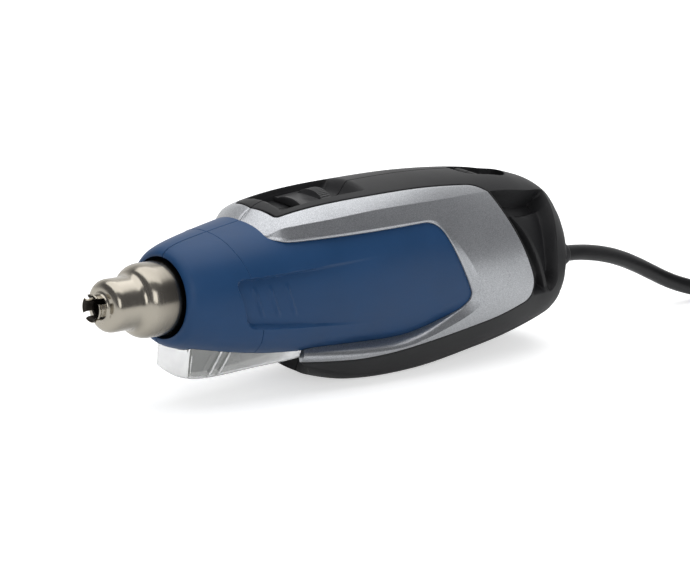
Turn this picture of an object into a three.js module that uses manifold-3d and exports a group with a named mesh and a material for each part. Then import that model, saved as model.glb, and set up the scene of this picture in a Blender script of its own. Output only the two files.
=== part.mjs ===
import * as THREE from 'three';
import { mergeVertices } from 'three/addons/utils/BufferGeometryUtils.js';
import Module from 'manifold-3d';

const wasm = await Module();
wasm.setup();

// Hand-held hot air tool: two moulded half shells carry a steel outlet, a ceramic heater,
// a fan with its motor and a switch board. Millimetres, x runs back along the air axis
// from the nose rim, z is up from that axis, and -y is the side with the left shell.

// Fits
const FIT = 0.3;
const RUNNING_CLEARANCE = 0.6;

// Casing
const BODY_LENGTH = 194;
const NOSE_RUN = 84;
const TAIL_RUN = 110;
const ROUND_RUN = 38.8;
const TAIL_CLOSING = 13.6;
const CROWN_HEIGHT = 34.5;
const KEEL_DEPTH = 39.7;
const BODY_BREADTH = 58;
const NOSE_DIAMETER = 32.6;
const NOSE_RIM = 1.15;
const WALL = 2.2;
const COVER_THICKNESS = 2.8;
const KEEL_THICKNESS = 8.1;
const FOOT_SINK = 0.6;

// Edges of the side panel and of the trim frame round it. Setbacks are measured from the tail.
const SLOPE_FOOT = 33.4;
const SLOPE_FOOT_HEIGHT = 23;
const SLOPE_CORNER = 36.6;
const SLOPE_CORNER_HEIGHT = 21;
const PANEL_FRONT = 40.6;
const PANEL_FRONT_HEIGHT = 20.2;
const PANEL_TOP_SETBACK = 81.7;
const PANEL_TOP = 21.4;
const PANEL_REAR_SETBACK = 62;
const PANEL_REAR_LOW = -10;
const PANEL_CORNER_SETBACK = 67;
const PANEL_CORNER_LOW = -14.6;
const PANEL_BELLY_SETBACK = 89.7;
const PANEL_BELLY_LOW = -25.2;
const PANEL_FRONT_LOW = -24.4;
const PANEL_FILLET = 7;
const PANEL_FRONT_FILLET = 4;
const PANEL_BELLY_FILLET = 14;
const TRIM_TOP_SETBACK = 48.4;
const TRIM_REAR_SETBACK = 27.4;
const TRIM_REAR_HEIGHT = -7.75;
const TRIM_REAR_LOW = -15.5;
const TRIM_BEND_SETBACK = 44.7;
const TRIM_BEND_LOW = -20.15;
const TRIM_BELLY_SETBACK = 106;
const TRIM_BELLY_LOW = -28.6;
const TRIM_TIP = 55;
const TRIM_TIP_LOW = -27.4;
const TRIM_REAR_FILLET = 14;
const TRIM_CORNER_FILLET = 4;
const TRIM_BEND_FILLET = 6;
const TRIM_BELLY_FILLET = 30;

// Front of the keel and top band of the grip
const KEEL_TIP = 48.6;
const KEEL_TIP_LOW = -26.4;
const TOP_BAND_WIDTH = 25;
const TOP_BAND_FRONT = 39.5;
const TOP_BAND_FILLET = 3.5;
const TOP_BAND_SWEEP = 6;
const TOP_BAND_SPREAD = 2.4;

// Shallow finger recess on each side, deepest in front, with upright ribs
const RECESS_FRONT = 18.4;
const RECESS_FRONT_TOP = 9.2;
const RECESS_TOE = 25.1;
const RECESS_TOE_LOW = -9;
const RECESS_REAR = 76;
const RECESS_REAR_TOP = 11.9;
const RECESS_REAR_LOW = -13.2;
const RECESS_FILLET = 3.4;
const RECESS_DEPTH = 1.2;
const RECESS_FADE = 0.15;
const RECESS_RIB_COUNT = 3;
const RECESS_RIB_START = 27;
const RECESS_RIB_PITCH = 6.9;
const RECESS_RIB_WIDTH = 2.2;
const RECESS_RIB_LEAN = 2.8;
const RECESS_RIB_REACH = 6.6;

// Thumb trench, its slide switch and the hanging eye on the back
const TRENCH_FRONT = 44.8;
const TRENCH_REAR = 86;
const TRENCH_WIDTH = 19.2;
const TRENCH_DEPTH = 5;
const TRENCH_FLOOR = 1.6;
const SLIDER_LENGTH = 15;
const SLIDER_PLATE = 1.5;
const SLIDER_RIDGE_HEIGHT = 4.2;
const SLIDER_RIDGE_LENGTH = 4.4;
const SLIDER_BLADE_HEIGHT = 3;
const SLIDER_TRAVEL = 5;
const STEM_LENGTH = 4;
const STEM_WIDTH = 2.8;
const STEM_BITE = 0.7;
const STEM_SLOT_DEPTH = 6;
const EYE_SETBACK = 56;
const EYE_LENGTH = 30;
const EYE_WIDTH = 13;
const EYE_DEPTH = 9;
const EYE_WALL = 1.6;
const EYE_BAR_DIAMETER = 4.2;
const EYE_BAR_SHARE = 0.4;
const EYE_BAR_SINK = 0.6;

// Air intakes in the tail: a scooped pocket under the crease, a rib down it and slots in its floor
const INTAKE_WALL = 1.6;
const INTAKE_CORE = 16;
const INTAKE_TOP_SETBACK = 45.2;
const INTAKE_TOP = 26;
const INTAKE_REAR_SETBACK = 10;
const INTAKE_REAR_TOP = 22.2;
const INTAKE_WAIST_SETBACK = 13;
const INTAKE_WAIST = 6;
const INTAKE_LOW_SETBACK = 12;
const INTAKE_LOW = -14.2;
const INTAKE_TOE_SETBACK = 24.5;
const INTAKE_FRONT_SETBACK = 32.2;
const INTAKE_FRONT = 1.5;
const INTAKE_FILLET = 4;
const INTAKE_SWEEP = 14;
const INTAKE_RIB_WIDTH = 2.3;
const INTAKE_RIB_TOP_SETBACK = 46;
const INTAKE_RIB_TOP = 27;
const INTAKE_RIB_BEND_SETBACK = 30.5;
const INTAKE_RIB_BEND = 9.2;
const INTAKE_RIB_FOOT_SETBACK = 16;
const INTAKE_RIB_FOOT = -15;
const SLOT_COUNT = 5;
const SLOT_HEIGHT = 2.4;
const SLOT_PITCH = 4.6;
const SLOT_TOP = 10;
const SLOT_LEAN = 2;
const SLOT_FRONT_SETBACK = 31;
const SLOT_REAR_SETBACK = 14;

// Steel outlet
const OUTLET_REACH = 29.2;
const OUTLET_WALL = 0.8;
const CROWN_DIAMETER = 8.8;
const CROWN_LENGTH = 5;
const CROWN_SLOT_WIDTH = 2.3;
const CROWN_SLOT_LENGTH = 3.8;
const CROWN_FLARE = 0.5;
const NECK_DIAMETER = 18.6;
const NECK_LENGTH = 7;
const TUBE_DIAMETER = 26.2;
const TUBE_REAR = 58;
const SHOULDER_LENGTH = 3.2;
const NECK_SHOULDER_LENGTH = 8.4;

// Heater and its holders
const COLLAR_START = 18;
const COLLAR_LENGTH = 6;
const SLEEVE_WALL = 0.8;
const HEATER_LENGTH = 52;
const CHANNEL_DIAMETER = 5.2;
const CHANNEL_WALL = 1;
const CHANNEL_COUNT = 6;

// Fan and motor
const FAN_DIAMETER = 30;
const FAN_SETBACK = 103;
const FAN_LENGTH = 10;
const FAN_BLADES = 9;
const BLADE_THICKNESS = 1.2;
const BLADE_PITCH_DEG = 35;
const HUB_DIAMETER = 10;
const BLADE_ROOT = 1;
const SHAFT_DIAMETER = 2.4;
const SHROUD_WALL = 1.5;
const BULKHEAD_THICKNESS = 3;
const PORT_COUNT = 8;
const MOTOR_DIAMETER = 24;
const MOTOR_LENGTH = 27;
const MOTOR_CAP_LENGTH = 4.5;
const MOTOR_CAP_STEP = 0.6;
const MOTOR_CAP_BOSS = 1.5;
const TERMINAL_LENGTH = 3.5;
const TERMINAL_WIDTH = 3.2;
const TERMINAL_THICKNESS = 0.8;
const SHAFT_SEAT = 6;

// Switch board
const BOARD_FRONT = 50;
const BOARD_LENGTH = 32;
const BOARD_WIDTH = 25;
const BOARD_THICKNESS = 1.6;
const SWITCH_LENGTH = 16;
const SWITCH_WIDTH = 8;
const SWITCH_HEIGHT = 3;
const RECTIFIER_SIZE = 6;
const RECTIFIER_GAP = 2;
const LEDGE_SETBACK = 4;
const LEDGE_LENGTH = 20;
const LEDGE_THICKNESS = 1.5;
const LEDGE_OVERLAP = 1.6;

// Work light under the nose
const LENS_FRONT = 8.6;
const LENS_DEPTH = 30.2;
const LENS_WIDTH = 17;
const LENS_WALL = 1.8;
const LENS_TOE = 2;
const LENS_BOW = 8;
const LENS_RISE = 2.4;
const LED_DIAMETER = 4.8;
const LED_LENGTH = 7;
const LED_GAP = 1.5;
const LED_RIM = 1.2;
const LED_RIM_SHARE = 1.2;

// Fasteners
const SCREW_DIAMETER = 2.6;
const SCREW_HEAD_DIAMETER = 5;
const SCREW_HEAD_LENGTH = 2;
const BOSS_DIAMETER = 6.2;
const SCREW_REACH = 9;
const SCREW_SEAT = 7;
const SCREW_JOIN = 1;
const FRONT_SCREW = 50;
const FRONT_SCREW_LOW = -18.8;
const MIDDLE_SCREW = 94;
const MIDDLE_SCREW_LOW = -21.6;
const TAIL_SCREW_SETBACK = 17;
const TAIL_SCREW_LOW = -18.5;

// Mains lead, its strain relief, clamp and plug
const CORD_DIAMETER = 6.6;
const CORD_DROP = 8.5;
const CORD_INNER_LENGTH = 10;
const BOOT_REACH = 17;
const BOOT_DIAMETER = 12.4;
const BOOT_TIP_DIAMETER = 9;
const BOOT_FLANGE_DIAMETER = 16;
const BOOT_FLANGE = 2;
const CLAMP_SETBACK = 34;
const CLAMP_LENGTH = 6;
const CLAMP_HEIGHT = 19;
const CLAMP_THICKNESS = 2.4;
const CLAMP_SCREW_PITCH = 13;
const COIL_LAYERS = 4;
const COIL_ROUNDS = 7;
const COIL_CLIMB = 0.5;
const COIL_MIDDLE_DIAMETER = 70;
const TURN_GAP = 0.55;
const SWING_START = 302;
const SWING_RADIUS = 27;
const SWING_DEG = 39;
const TURN_STEPS = 24;
const TURN_SIDES = 6;
const TIE_THICKNESS = 1.1;
const TIE_WIDTH = 8;
const TIE_SLACK = 0.8;
const TIE_FILLET = 4;
const PLUG_LEAD = 42;
const PLUG_SHIFT = 5.5;
const PLUG_LENGTH = 34;
const PLUG_WIDTH = 24;
const PLUG_HEIGHT = 13.4;
const PLUG_NECK_WALL = 1.6;
const PLUG_NECK_FILLET = 2;
const PLUG_EDGE_FILLET = 1.5;
const PLUG_WAIST_FILLET = 8;
const PLUG_WAIST_SHARE = 0.4;
const PIN_DIAMETER = 4;
const PIN_LENGTH = 19;
const PIN_PITCH = 18.6;

// Sections of the inner carcass: a station, then how far the top, the bottom and the side have
// grown from the nose radius (0) to their full size (1). Stations from 0 to 1 lie on the nose's
// run behind the rim and those from 1 to 2 on the tail's run before the rear end, so that a
// longer body grows between the two.
const CARCASS_ROWS = [
  [0, 0, 0, 0],
  [0.069, 0.15, 0.14, 0.2],
  [0.173, 0.28, 0.27, 0.42],
  [0.37, 0.47, 0.48, 0.72],
  [0.67, 0.73, 0.72, 0.91],
  [1.012, 0.95, 0.91, 1],
  [1.224, 1, 1, 1],
  [1.436, 0.95, 0.97, 0.98],
  [1.612, 0.79, 0.91, 0.58],
  [1.753, 0.53, 0.72, 0.26],
  [1.938, -0.15, 0.2, -0.3],
];

// Sections of the outer form as shares: a like station, crown height, crease width and height, shoulder
// width and height, breadth, height of the breadth, chine width and depth, keel depth.
const OUTER_ROWS = [
  [0.3, 0.496, 0.36, 0.426, 0.44, 0.357, 0.78, 0, 0.42, -0.5, -0.56],
  [0.404, 0.684, 0.455, 0.58, 0.52, 0.486, 0.86, 0, 0.45, -0.57, -0.6],
  [0.476, 0.823, 0.535, 0.689, 0.6, 0.58, 0.91, 0, 0.47, -0.6, -0.63],
  [0.543, 0.877, 0.58, 0.719, 0.65, 0.605, 0.93, 0, 0.48, -0.63, -0.67],
  [0.739, 0.942, 0.64, 0.756, 0.715, 0.634, 0.975, 0, 0.52, -0.76, -0.865],
  [1, 0.976, 0.652, 0.794, 0.765, 0.654, 1, 0, 0.55, -0.9, -1],
  [1.295, 1, 0.625, 0.803, 0.765, 0.644, 0.997, -0.05, 0.55, -0.927, -1.022],
  [1.594, 0.95, 0.51, 0.788, 0.73, 0.61, 0.945, -0.109, 0.525, -0.833, -0.943],
  [1.788, 0.851, 0.4, 0.713, 0.745, 0.54, 0.863, -0.14, 0.49, -0.753, -0.863],
  [1.938, 0.66, 0.262, 0.615, 0.58, 0.43, 0.768, -0.2, 0.555, -0.603, -0.718],
  [2, 0.361, 0.15, 0.342, 0.46, 0.285, 0.515, -0.19, 0.425, -0.57, -0.67],
];

// Solids

function solid(geometry) {
  const bare = geometry.clone();
  bare.deleteAttribute('normal');
  bare.deleteAttribute('uv');
  const merged = mergeVertices(bare, 1e-4);
  return new wasm.Manifold(new wasm.Mesh({
    numProp: 3,
    vertProperties: new Float32Array(merged.attributes.position.array),
    triVerts: new Uint32Array(merged.index.array),
  }));
}

function surface(body) {
  const mesh = body.getMesh();
  const geometry = new THREE.BufferGeometry();
  geometry.setAttribute('position', new THREE.BufferAttribute(mesh.vertProperties, 3));
  geometry.setIndex(new THREE.BufferAttribute(mesh.triVerts, 1));
  return geometry;
}

function mirrored(body) {
  const geometry = surface(body);
  geometry.scale(1, -1, 1);
  const index = geometry.index.array;
  for (let i = 0; i < index.length; i += 3) {
    [index[i], index[i + 1]] = [index[i + 1], index[i]];
  }
  return solid(geometry);
}

function block(x0, x1, y0, y1, z0, z1) {
  const box = new THREE.BoxGeometry(x1 - x0, y1 - y0, z1 - z0);
  return solid(box.translate((x0 + x1) / 2, (y0 + y1) / 2, (z0 + z1) / 2));
}

function rodAlongX(radius, x0, x1, z = 0, y = 0, sides = 32) {
  const rod = new THREE.CylinderGeometry(radius, radius, x1 - x0, sides);
  return solid(rod.rotateZ(Math.PI / 2).translate((x0 + x1) / 2, y, z));
}

function rodAlongY(radius, y0, y1, x, z, sides = 14) {
  const rod = new THREE.CylinderGeometry(radius, radius, y1 - y0, sides);
  return solid(rod.translate(x, (y0 + y1) / 2, z));
}

// A closed profile of [x, radius] points turned about the air axis.
function turned(points, sides = 24) {
  const profile = points.map(([x, r]) => new THREE.Vector2(r, x));
  profile.push(profile[0].clone());
  return solid(new THREE.LatheGeometry(profile, sides).rotateZ(-Math.PI / 2));
}

// A closed outline whose corners are [a, b, fillet].
function filleted(corners) {
  const shape = new THREE.Shape();
  const count = corners.length;
  const at = (i) => new THREE.Vector2(...corners[(i + count) % count].slice(0, 2));
  for (let i = 0; i < count; i += 1) {
    const corner = at(i);
    const fillet = corners[i][2] ?? 0;
    const toBefore = at(i - 1).sub(corner);
    const toAfter = at(i + 1).sub(corner);
    const reach = Math.min(fillet, toBefore.length() / 2, toAfter.length() / 2);
    const enter = corner.clone().add(toBefore.setLength(reach));
    const leave = corner.clone().add(toAfter.setLength(reach));
    if (i === 0) shape.moveTo(enter.x, enter.y);
    else shape.lineTo(enter.x, enter.y);
    if (reach > 0) shape.quadraticCurveTo(corner.x, corner.y, leave.x, leave.y);
  }
  shape.closePath();
  return shape;
}

function sidePrism(shape, y0, y1, curveSegments = 3) {
  const prism = new THREE.ExtrudeGeometry(shape, { depth: y1 - y0, bevelEnabled: false, curveSegments });
  return solid(prism.rotateX(Math.PI / 2).translate(0, y1, 0));
}

function planPrism(shape, z0, z1, curveSegments = 4) {
  const prism = new THREE.ExtrudeGeometry(shape, { depth: z1 - z0, bevelEnabled: false, curveSegments });
  return solid(prism.translate(0, 0, z0));
}

function stationPlace(station) {
  return station > 1 ? BODY_LENGTH - (2 - station) * TAIL_RUN : station * NOSE_RUN;
}

// A smooth curve through one column of a table of sections.
function along(rows, column, scale) {
  const xs = rows.map((row) => stationPlace(row[0]));
  const vs = rows.map((row) => row[column] * scale);
  const last = rows.length - 1;
  const slope = (i) => {
    const a = Math.max(i - 1, 0);
    const b = Math.min(i + 1, last);
    return (vs[b] - vs[a]) / (xs[b] - xs[a]);
  };
  return (x) => {
    let i = 0;
    while (i < last - 1 && x > xs[i + 1]) i += 1;
    const span = xs[i + 1] - xs[i];
    const u = THREE.MathUtils.clamp((x - xs[i]) / span, 0, 1);
    const v = 1 - u;
    return vs[i] * (1 + 2 * u) * v * v + slope(i) * span * u * v * v
      + vs[i + 1] * (3 - 2 * u) * u * u - slope(i + 1) * span * u * u * v;
  };
}

// Closed loft through rings of equal length.
function loft(rings) {
  const points = rings.flat();
  const size = rings[0].length;
  const index = [];
  for (let r = 0; r + 1 < rings.length; r += 1) {
    for (let k = 0; k < size; k += 1) {
      const a = r * size + k;
      const b = r * size + ((k + 1) % size);
      index.push(a, b, a + size, b, b + size, a + size);
    }
  }
  const cap = (start, flip) => {
    const middle = new THREE.Vector3();
    for (let k = 0; k < size; k += 1) middle.add(points[start + k]);
    points.push(middle.divideScalar(size));
    const centre = points.length - 1;
    for (let k = 0; k < size; k += 1) {
      const a = start + k;
      const b = start + ((k + 1) % size);
      if (flip) index.push(centre, a, b);
      else index.push(centre, b, a);
    }
  };
  cap(0, false);
  cap((rings.length - 1) * size, true);
  const geometry = new THREE.BufferGeometry().setFromPoints(points);
  geometry.setIndex(index);
  return solid(geometry);
}

function stations(x0, x1, count) {
  return Array.from({ length: count + 1 }, (_, i) => x0 + ((x1 - x0) * i) / count);
}

// Carcass form: round at the nose, a full rounded section behind it

const noseRadius = NOSE_DIAMETER / 2;
const carcassRear = stationPlace(CARCASS_ROWS.at(-1)[0]);
const carcassTop = along(CARCASS_ROWS, 1, CROWN_HEIGHT - COVER_THICKNESS - noseRadius);
const carcassBottom = along(CARCASS_ROWS, 2, KEEL_DEPTH - KEEL_THICKNESS - noseRadius);
const carcassSide = along(CARCASS_ROWS, 3, BODY_BREADTH / 2 - COVER_THICKNESS - noseRadius);

function carcassRing(x, grow, sides) {
  const power = 2 / (2 + 0.3 * Math.min(1, x / ROUND_RUN));
  return Array.from({ length: sides }, (_, k) => {
    const turn = (2 * Math.PI * k) / sides;
    const c = Math.cos(turn);
    const s = Math.sin(turn);
    const y = noseRadius + carcassSide(x) + grow;
    const z = noseRadius + (s > 0 ? carcassTop(x) : carcassBottom(x)) + grow;
    const across = Math.sign(c) * Math.abs(c) ** power;
    const upright = Math.sign(s) * Math.abs(s) ** power;
    return new THREE.Vector3(x, y * across, z * upright);
  });
}

function carcass(grow) {
  const places = stations(0, carcassRear + grow, grow < 0 ? 9 : 14);
  const sides = grow < 0 ? 20 : 28;
  return loft(places.map((x) => carcassRing(Math.min(x, carcassRear), grow, sides).map((p) => p.setX(x))));
}

// Outer form: domed back, crease, full side, keel

const half = BODY_BREADTH / 2;
const crown = along(OUTER_ROWS, 1, CROWN_HEIGHT);
const creaseY = along(OUTER_ROWS, 2, half);
const creaseZ = along(OUTER_ROWS, 3, CROWN_HEIGHT);
const shoulderY = along(OUTER_ROWS, 4, half);
const shoulderZ = along(OUTER_ROWS, 5, CROWN_HEIGHT);
const breadth = along(OUTER_ROWS, 6, half);
const breadthZ = along(OUTER_ROWS, 7, CROWN_HEIGHT);
const chineY = along(OUTER_ROWS, 8, half);
const chineZ = along(OUTER_ROWS, 9, KEEL_DEPTH);
const keel = along(OUTER_ROWS, 10, KEEL_DEPTH + FOOT_SINK);

function outerRing(x) {
  const spot = (y, z) => new THREE.Vector2(y, z);
  const top = spot(0, crown(x));
  const crease = spot(creaseY(x), creaseZ(x));
  const shoulder = spot(shoulderY(x), shoulderZ(x));
  const widest = spot(breadth(x), breadthZ(x));
  const chine = spot(chineY(x), chineZ(x));
  const bottom = spot(0, keel(x));
  const upperBend = spot(widest.x, (shoulder.y + widest.y) / 2);
  const lowerBend = spot(widest.x, THREE.MathUtils.lerp(widest.y, chine.y, 0.6));
  const spans = [
    [new THREE.QuadraticBezierCurve(top, spot(0.55 * crease.x, top.y), crease), 4],
    [new THREE.CubicBezierCurve(crease, shoulder, upperBend, widest), 4],
    [new THREE.QuadraticBezierCurve(widest, lowerBend, chine), 4],
    [new THREE.QuadraticBezierCurve(chine, spot(0.8 * chine.x, bottom.y), bottom), 3],
  ];
  const right = spans.flatMap(([curve, steps]) => curve.getPoints(steps).slice(0, -1));
  right.push(bottom);
  const left = right.slice(1, -1).reverse().map((p) => spot(-p.x, p.y));
  return [...right, ...left].reverse().map((p) => new THREE.Vector3(x, p.x, p.y));
}

function outerForm() {
  const closing = BODY_LENGTH - TAIL_CLOSING;
  const front = stations(stationPlace(OUTER_ROWS[0][0]), KEEL_TIP, 4).slice(0, -1);
  const middle = stations(KEEL_TIP, closing, 9).slice(0, -1);
  const tail = stations(closing, BODY_LENGTH, 3);
  return loft([...front, ...middle, ...tail].map(outerRing));
}

// Places that several pieces share

const REACH = 400;
const mouthRadius = noseRadius - NOSE_RIM;
const tubeRadius = TUBE_DIAMETER / 2;
const neckRadius = NECK_DIAMETER / 2;
const tipRadius = CROWN_DIAMETER / 2;
const sleeveRadius = tubeRadius - OUTLET_WALL - FIT;
const heaterRadius = sleeveRadius - SLEEVE_WALL - FIT;
const heaterStart = TUBE_REAR - HEATER_LENGTH - WALL;
const fanRadius = FAN_DIAMETER / 2;
const shroudRadius = fanRadius + RUNNING_CLEARANCE;
const fanStart = BODY_LENGTH - FAN_SETBACK;
const shroudRear = fanStart + FAN_LENGTH + 2 * RUNNING_CLEARANCE;
const bulkheadStart = shroudRear + FIT;
const motorStart = bulkheadStart + BULKHEAD_THICKNESS + FIT;
const motorEnd = motorStart + MOTOR_LENGTH;
const floorStart = TRENCH_FRONT + TRENCH_DEPTH;
const floorEnd = TRENCH_REAR - TRENCH_DEPTH;
const floorSlope = Math.atan2(crown(floorEnd) - crown(floorStart), floorEnd - floorStart);
const trenchFloor = (x) => crown(floorStart) - TRENCH_DEPTH + (x - floorStart) * Math.tan(floorSlope);
const sliderPlace = (floorStart + floorEnd) / 2;
const boardTop = trenchFloor(floorStart) - TRENCH_FLOOR - SWITCH_HEIGHT - 3 * FIT;
const boardBottom = boardTop - BOARD_THICKNESS;
const cordRadius = CORD_DIAMETER / 2;
const cordHeight = -CORD_DROP;
const boreRadius = BOOT_DIAMETER / 2 + FIT;
const eyeStart = BODY_LENGTH - EYE_SETBACK;
const eyeEnd = eyeStart + EYE_LENGTH;
const trimRearTop = BODY_LENGTH - TRIM_TOP_SETBACK;
const trimRear = BODY_LENGTH - TRIM_REAR_SETBACK;
const clampStart = BODY_LENGTH - CLAMP_SETBACK;
const cordInnerEnd = clampStart - CORD_INNER_LENGTH;
const flangeRear = carcassRear - WALL - FIT;
const screwPlaces = [
  [FRONT_SCREW, FRONT_SCREW_LOW],
  [MIDDLE_SCREW, MIDDLE_SCREW_LOW],
  [BODY_LENGTH - TAIL_SCREW_SETBACK, TAIL_SCREW_LOW],
];

const leftHalf = block(-REACH, REACH, -REACH, -FIT / 2, -REACH, REACH);
const outerSolid = outerForm();
const carcassSolid = carcass(0);
const carcassHollow = carcass(-WALL);
const carcassSeat = carcass(FIT);

// Trench for the thumb, grown by a margin for the wall round it
function trenchTool(margin) {
  const shape = filleted([
    [TRENCH_FRONT - margin, crown(TRENCH_FRONT) - margin / 2],
    [floorStart - margin / 2, trenchFloor(floorStart) - margin],
    [floorEnd + margin / 2, trenchFloor(floorEnd) - margin],
    [TRENCH_REAR + margin, crown(TRENCH_REAR) - margin / 2],
    [TRENCH_REAR + margin, REACH],
    [TRENCH_FRONT - margin, REACH],
  ]);
  const width = TRENCH_WIDTH / 2 + margin;
  return sidePrism(shape, -width, width);
}

// Hanging eye: a round-ended well in the back of the tail
function eyeTool(margin) {
  const width = EYE_WIDTH / 2 + margin;
  const plan = planPrism(filleted([
    [eyeStart - margin, -width, width],
    [eyeEnd + margin, -width, width],
    [eyeEnd + margin, width, width],
    [eyeStart - margin, width, width],
  ]), -REACH, REACH);
  const side = sidePrism(filleted([
    [eyeStart - margin, crown(eyeStart) - EYE_DEPTH - margin],
    [eyeEnd + margin, crown(eyeEnd) - EYE_DEPTH - margin],
    [eyeEnd + margin, REACH],
    [eyeStart - margin, REACH],
  ]), -REACH, REACH);
  return plan.intersect(side);
}

function eyeBar() {
  const x = eyeStart + EYE_BAR_SHARE * EYE_LENGTH;
  const width = EYE_WIDTH / 2 + EYE_WALL / 2;
  const z = crown(x) - EYE_BAR_DIAMETER / 2 - EYE_BAR_SINK;
  return rodAlongY(EYE_BAR_DIAMETER / 2, -width, width, x, z, 14);
}

// The grip covers the top band, the tail and the keel
function gripZone(grow) {
  const width = TOP_BAND_WIDTH / 2 + grow;
  const sweep = trimRearTop - TOP_BAND_SWEEP - grow;
  const rear = trimRearTop - grow;
  const spread = width + TOP_BAND_SPREAD;
  const band = planPrism(filleted([
    [TOP_BAND_FRONT - grow, -width, TOP_BAND_FILLET],
    [sweep, -width, TOP_BAND_SWEEP],
    [rear, -spread],
    [rear + COVER_THICKNESS, -spread],
    [rear + COVER_THICKNESS, spread],
    [rear, spread],
    [sweep, width, TOP_BAND_SWEEP],
    [TOP_BAND_FRONT - grow, width, TOP_BAND_FILLET],
  ]), 0, REACH);
  const tail = sidePrism(filleted([
    [rear, REACH],
    [rear, creaseZ(trimRearTop)],
    [trimRear - grow, TRIM_REAR_HEIGHT, TRIM_REAR_FILLET],
    [trimRear - grow, TRIM_REAR_LOW + grow, TRIM_CORNER_FILLET],
    [BODY_LENGTH - TRIM_BEND_SETBACK, TRIM_BEND_LOW + grow, TRIM_BEND_FILLET],
    [BODY_LENGTH - TRIM_BELLY_SETBACK, TRIM_BELLY_LOW + grow, TRIM_BELLY_FILLET],
    [TRIM_TIP - FIT, TRIM_TIP_LOW + grow],
    [TRIM_TIP - FIT, PANEL_FRONT_LOW - FIT],
    [KEEL_TIP, KEEL_TIP_LOW],
    [KEEL_TIP, -REACH],
    [REACH, -REACH],
    [REACH, REACH],
  ]), -REACH, REACH);
  return band.add(tail);
}

// The part of the side where the body shell shows
function panelZone() {
  return sidePrism(filleted([
    [-REACH, REACH],
    [SLOPE_FOOT, REACH],
    [SLOPE_FOOT, SLOPE_FOOT_HEIGHT],
    [SLOPE_CORNER, SLOPE_CORNER_HEIGHT],
    [PANEL_FRONT, PANEL_FRONT_HEIGHT, PANEL_FRONT_FILLET],
    [BODY_LENGTH - PANEL_TOP_SETBACK, PANEL_TOP, PANEL_FILLET],
    [BODY_LENGTH - PANEL_REAR_SETBACK, PANEL_REAR_LOW, PANEL_FILLET],
    [BODY_LENGTH - PANEL_CORNER_SETBACK, PANEL_CORNER_LOW, PANEL_FILLET],
    [BODY_LENGTH - PANEL_BELLY_SETBACK, PANEL_BELLY_LOW, PANEL_BELLY_FILLET],
    [TRIM_TIP, PANEL_FRONT_LOW],
    [TRIM_TIP, -REACH],
    [-REACH, -REACH],
  ]), -REACH, REACH);
}

// Recess where the fingers lie, fading to the rear, with its ribs left standing
function fingerRecess() {
  let tool = sidePrism(filleted([
    [RECESS_FRONT, RECESS_FRONT_TOP, RECESS_FILLET],
    [RECESS_REAR, RECESS_REAR_TOP],
    [RECESS_REAR, RECESS_REAR_LOW],
    [RECESS_TOE, RECESS_TOE_LOW, RECESS_FILLET],
  ]), -REACH, 0);
  for (let k = 0; k < RECESS_RIB_COUNT; k += 1) {
    const x = RECESS_RIB_START + RECESS_RIB_PITCH * k;
    const rib = filleted([
      [x, RECESS_RIB_REACH],
      [x + RECESS_RIB_WIDTH, RECESS_RIB_REACH],
      [x + RECESS_RIB_WIDTH + RECESS_RIB_LEAN, -RECESS_RIB_REACH],
      [x + RECESS_RIB_LEAN, -RECESS_RIB_REACH],
    ]);
    tool = tool.subtract(sidePrism(rib, -REACH, 0));
  }
  const depth = (x) => {
    const share = THREE.MathUtils.clamp((RECESS_REAR - x) / (RECESS_REAR - RECESS_FRONT), 0, 1);
    return RECESS_FADE + (RECESS_DEPTH - RECESS_FADE) * share;
  };
  const floor = stations(0, carcassRear, 14).map((x) => carcassRing(x, -depth(x), 28));
  return tool.subtract(loft(floor));
}

// Scooped air intake: its floor keeps a wall over the carcass, and its rib stands in it
function intakePocket() {
  const back = (setback) => BODY_LENGTH - setback;
  const core = -INTAKE_CORE / 2;
  const pocket = sidePrism(filleted([
    [back(INTAKE_TOP_SETBACK), INTAKE_TOP],
    [back(INTAKE_REAR_SETBACK), INTAKE_REAR_TOP, INTAKE_FILLET],
    [back(INTAKE_WAIST_SETBACK), INTAKE_WAIST, INTAKE_SWEEP],
    [back(INTAKE_LOW_SETBACK), INTAKE_LOW, INTAKE_FILLET],
    [back(INTAKE_TOE_SETBACK), INTAKE_LOW, INTAKE_FILLET],
    [back(INTAKE_FRONT_SETBACK), INTAKE_FRONT, INTAKE_SWEEP],
  ]), -REACH, core);
  const bend = back(INTAKE_RIB_BEND_SETBACK);
  const rib = sidePrism(filleted([
    [back(INTAKE_RIB_TOP_SETBACK), INTAKE_RIB_TOP],
    [bend, INTAKE_RIB_BEND, INTAKE_SWEEP],
    [back(INTAKE_RIB_FOOT_SETBACK), INTAKE_RIB_FOOT],
    [back(INTAKE_RIB_FOOT_SETBACK) + INTAKE_RIB_WIDTH, INTAKE_RIB_FOOT],
    [bend + INTAKE_RIB_WIDTH, INTAKE_RIB_BEND, INTAKE_SWEEP],
    [back(INTAKE_RIB_TOP_SETBACK) + INTAKE_RIB_WIDTH, INTAKE_RIB_TOP],
  ]), -REACH, 0);
  return pocket.subtract(rib).subtract(carcass(INTAKE_WALL + FIT));
}

function intakeSlots() {
  let slots = null;
  for (let k = 0; k < SLOT_COUNT; k += 1) {
    const z = SLOT_TOP - SLOT_PITCH * k;
    const x = BODY_LENGTH - SLOT_FRONT_SETBACK + SLOT_LEAN * k;
    const slot = block(x, BODY_LENGTH - SLOT_REAR_SETBACK, -REACH, 0, z - SLOT_HEIGHT, z);
    slots = slots ? slots.add(slot) : slot;
  }
  return slots.intersect(carcass(INTAKE_WALL + 2 * FIT));
}

// Body shells

function screwWell(x, z, margin) {
  const head = SCREW_HEAD_DIAMETER / 2 + margin;
  return rodAlongY(head, SCREW_SEAT, REACH, x, z);
}

function screwHole(x, z) {
  return rodAlongY(SCREW_DIAMETER / 2 + FIT, -SCREW_REACH - FIT, SCREW_SEAT + FIT, x, z, 14);
}

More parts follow.
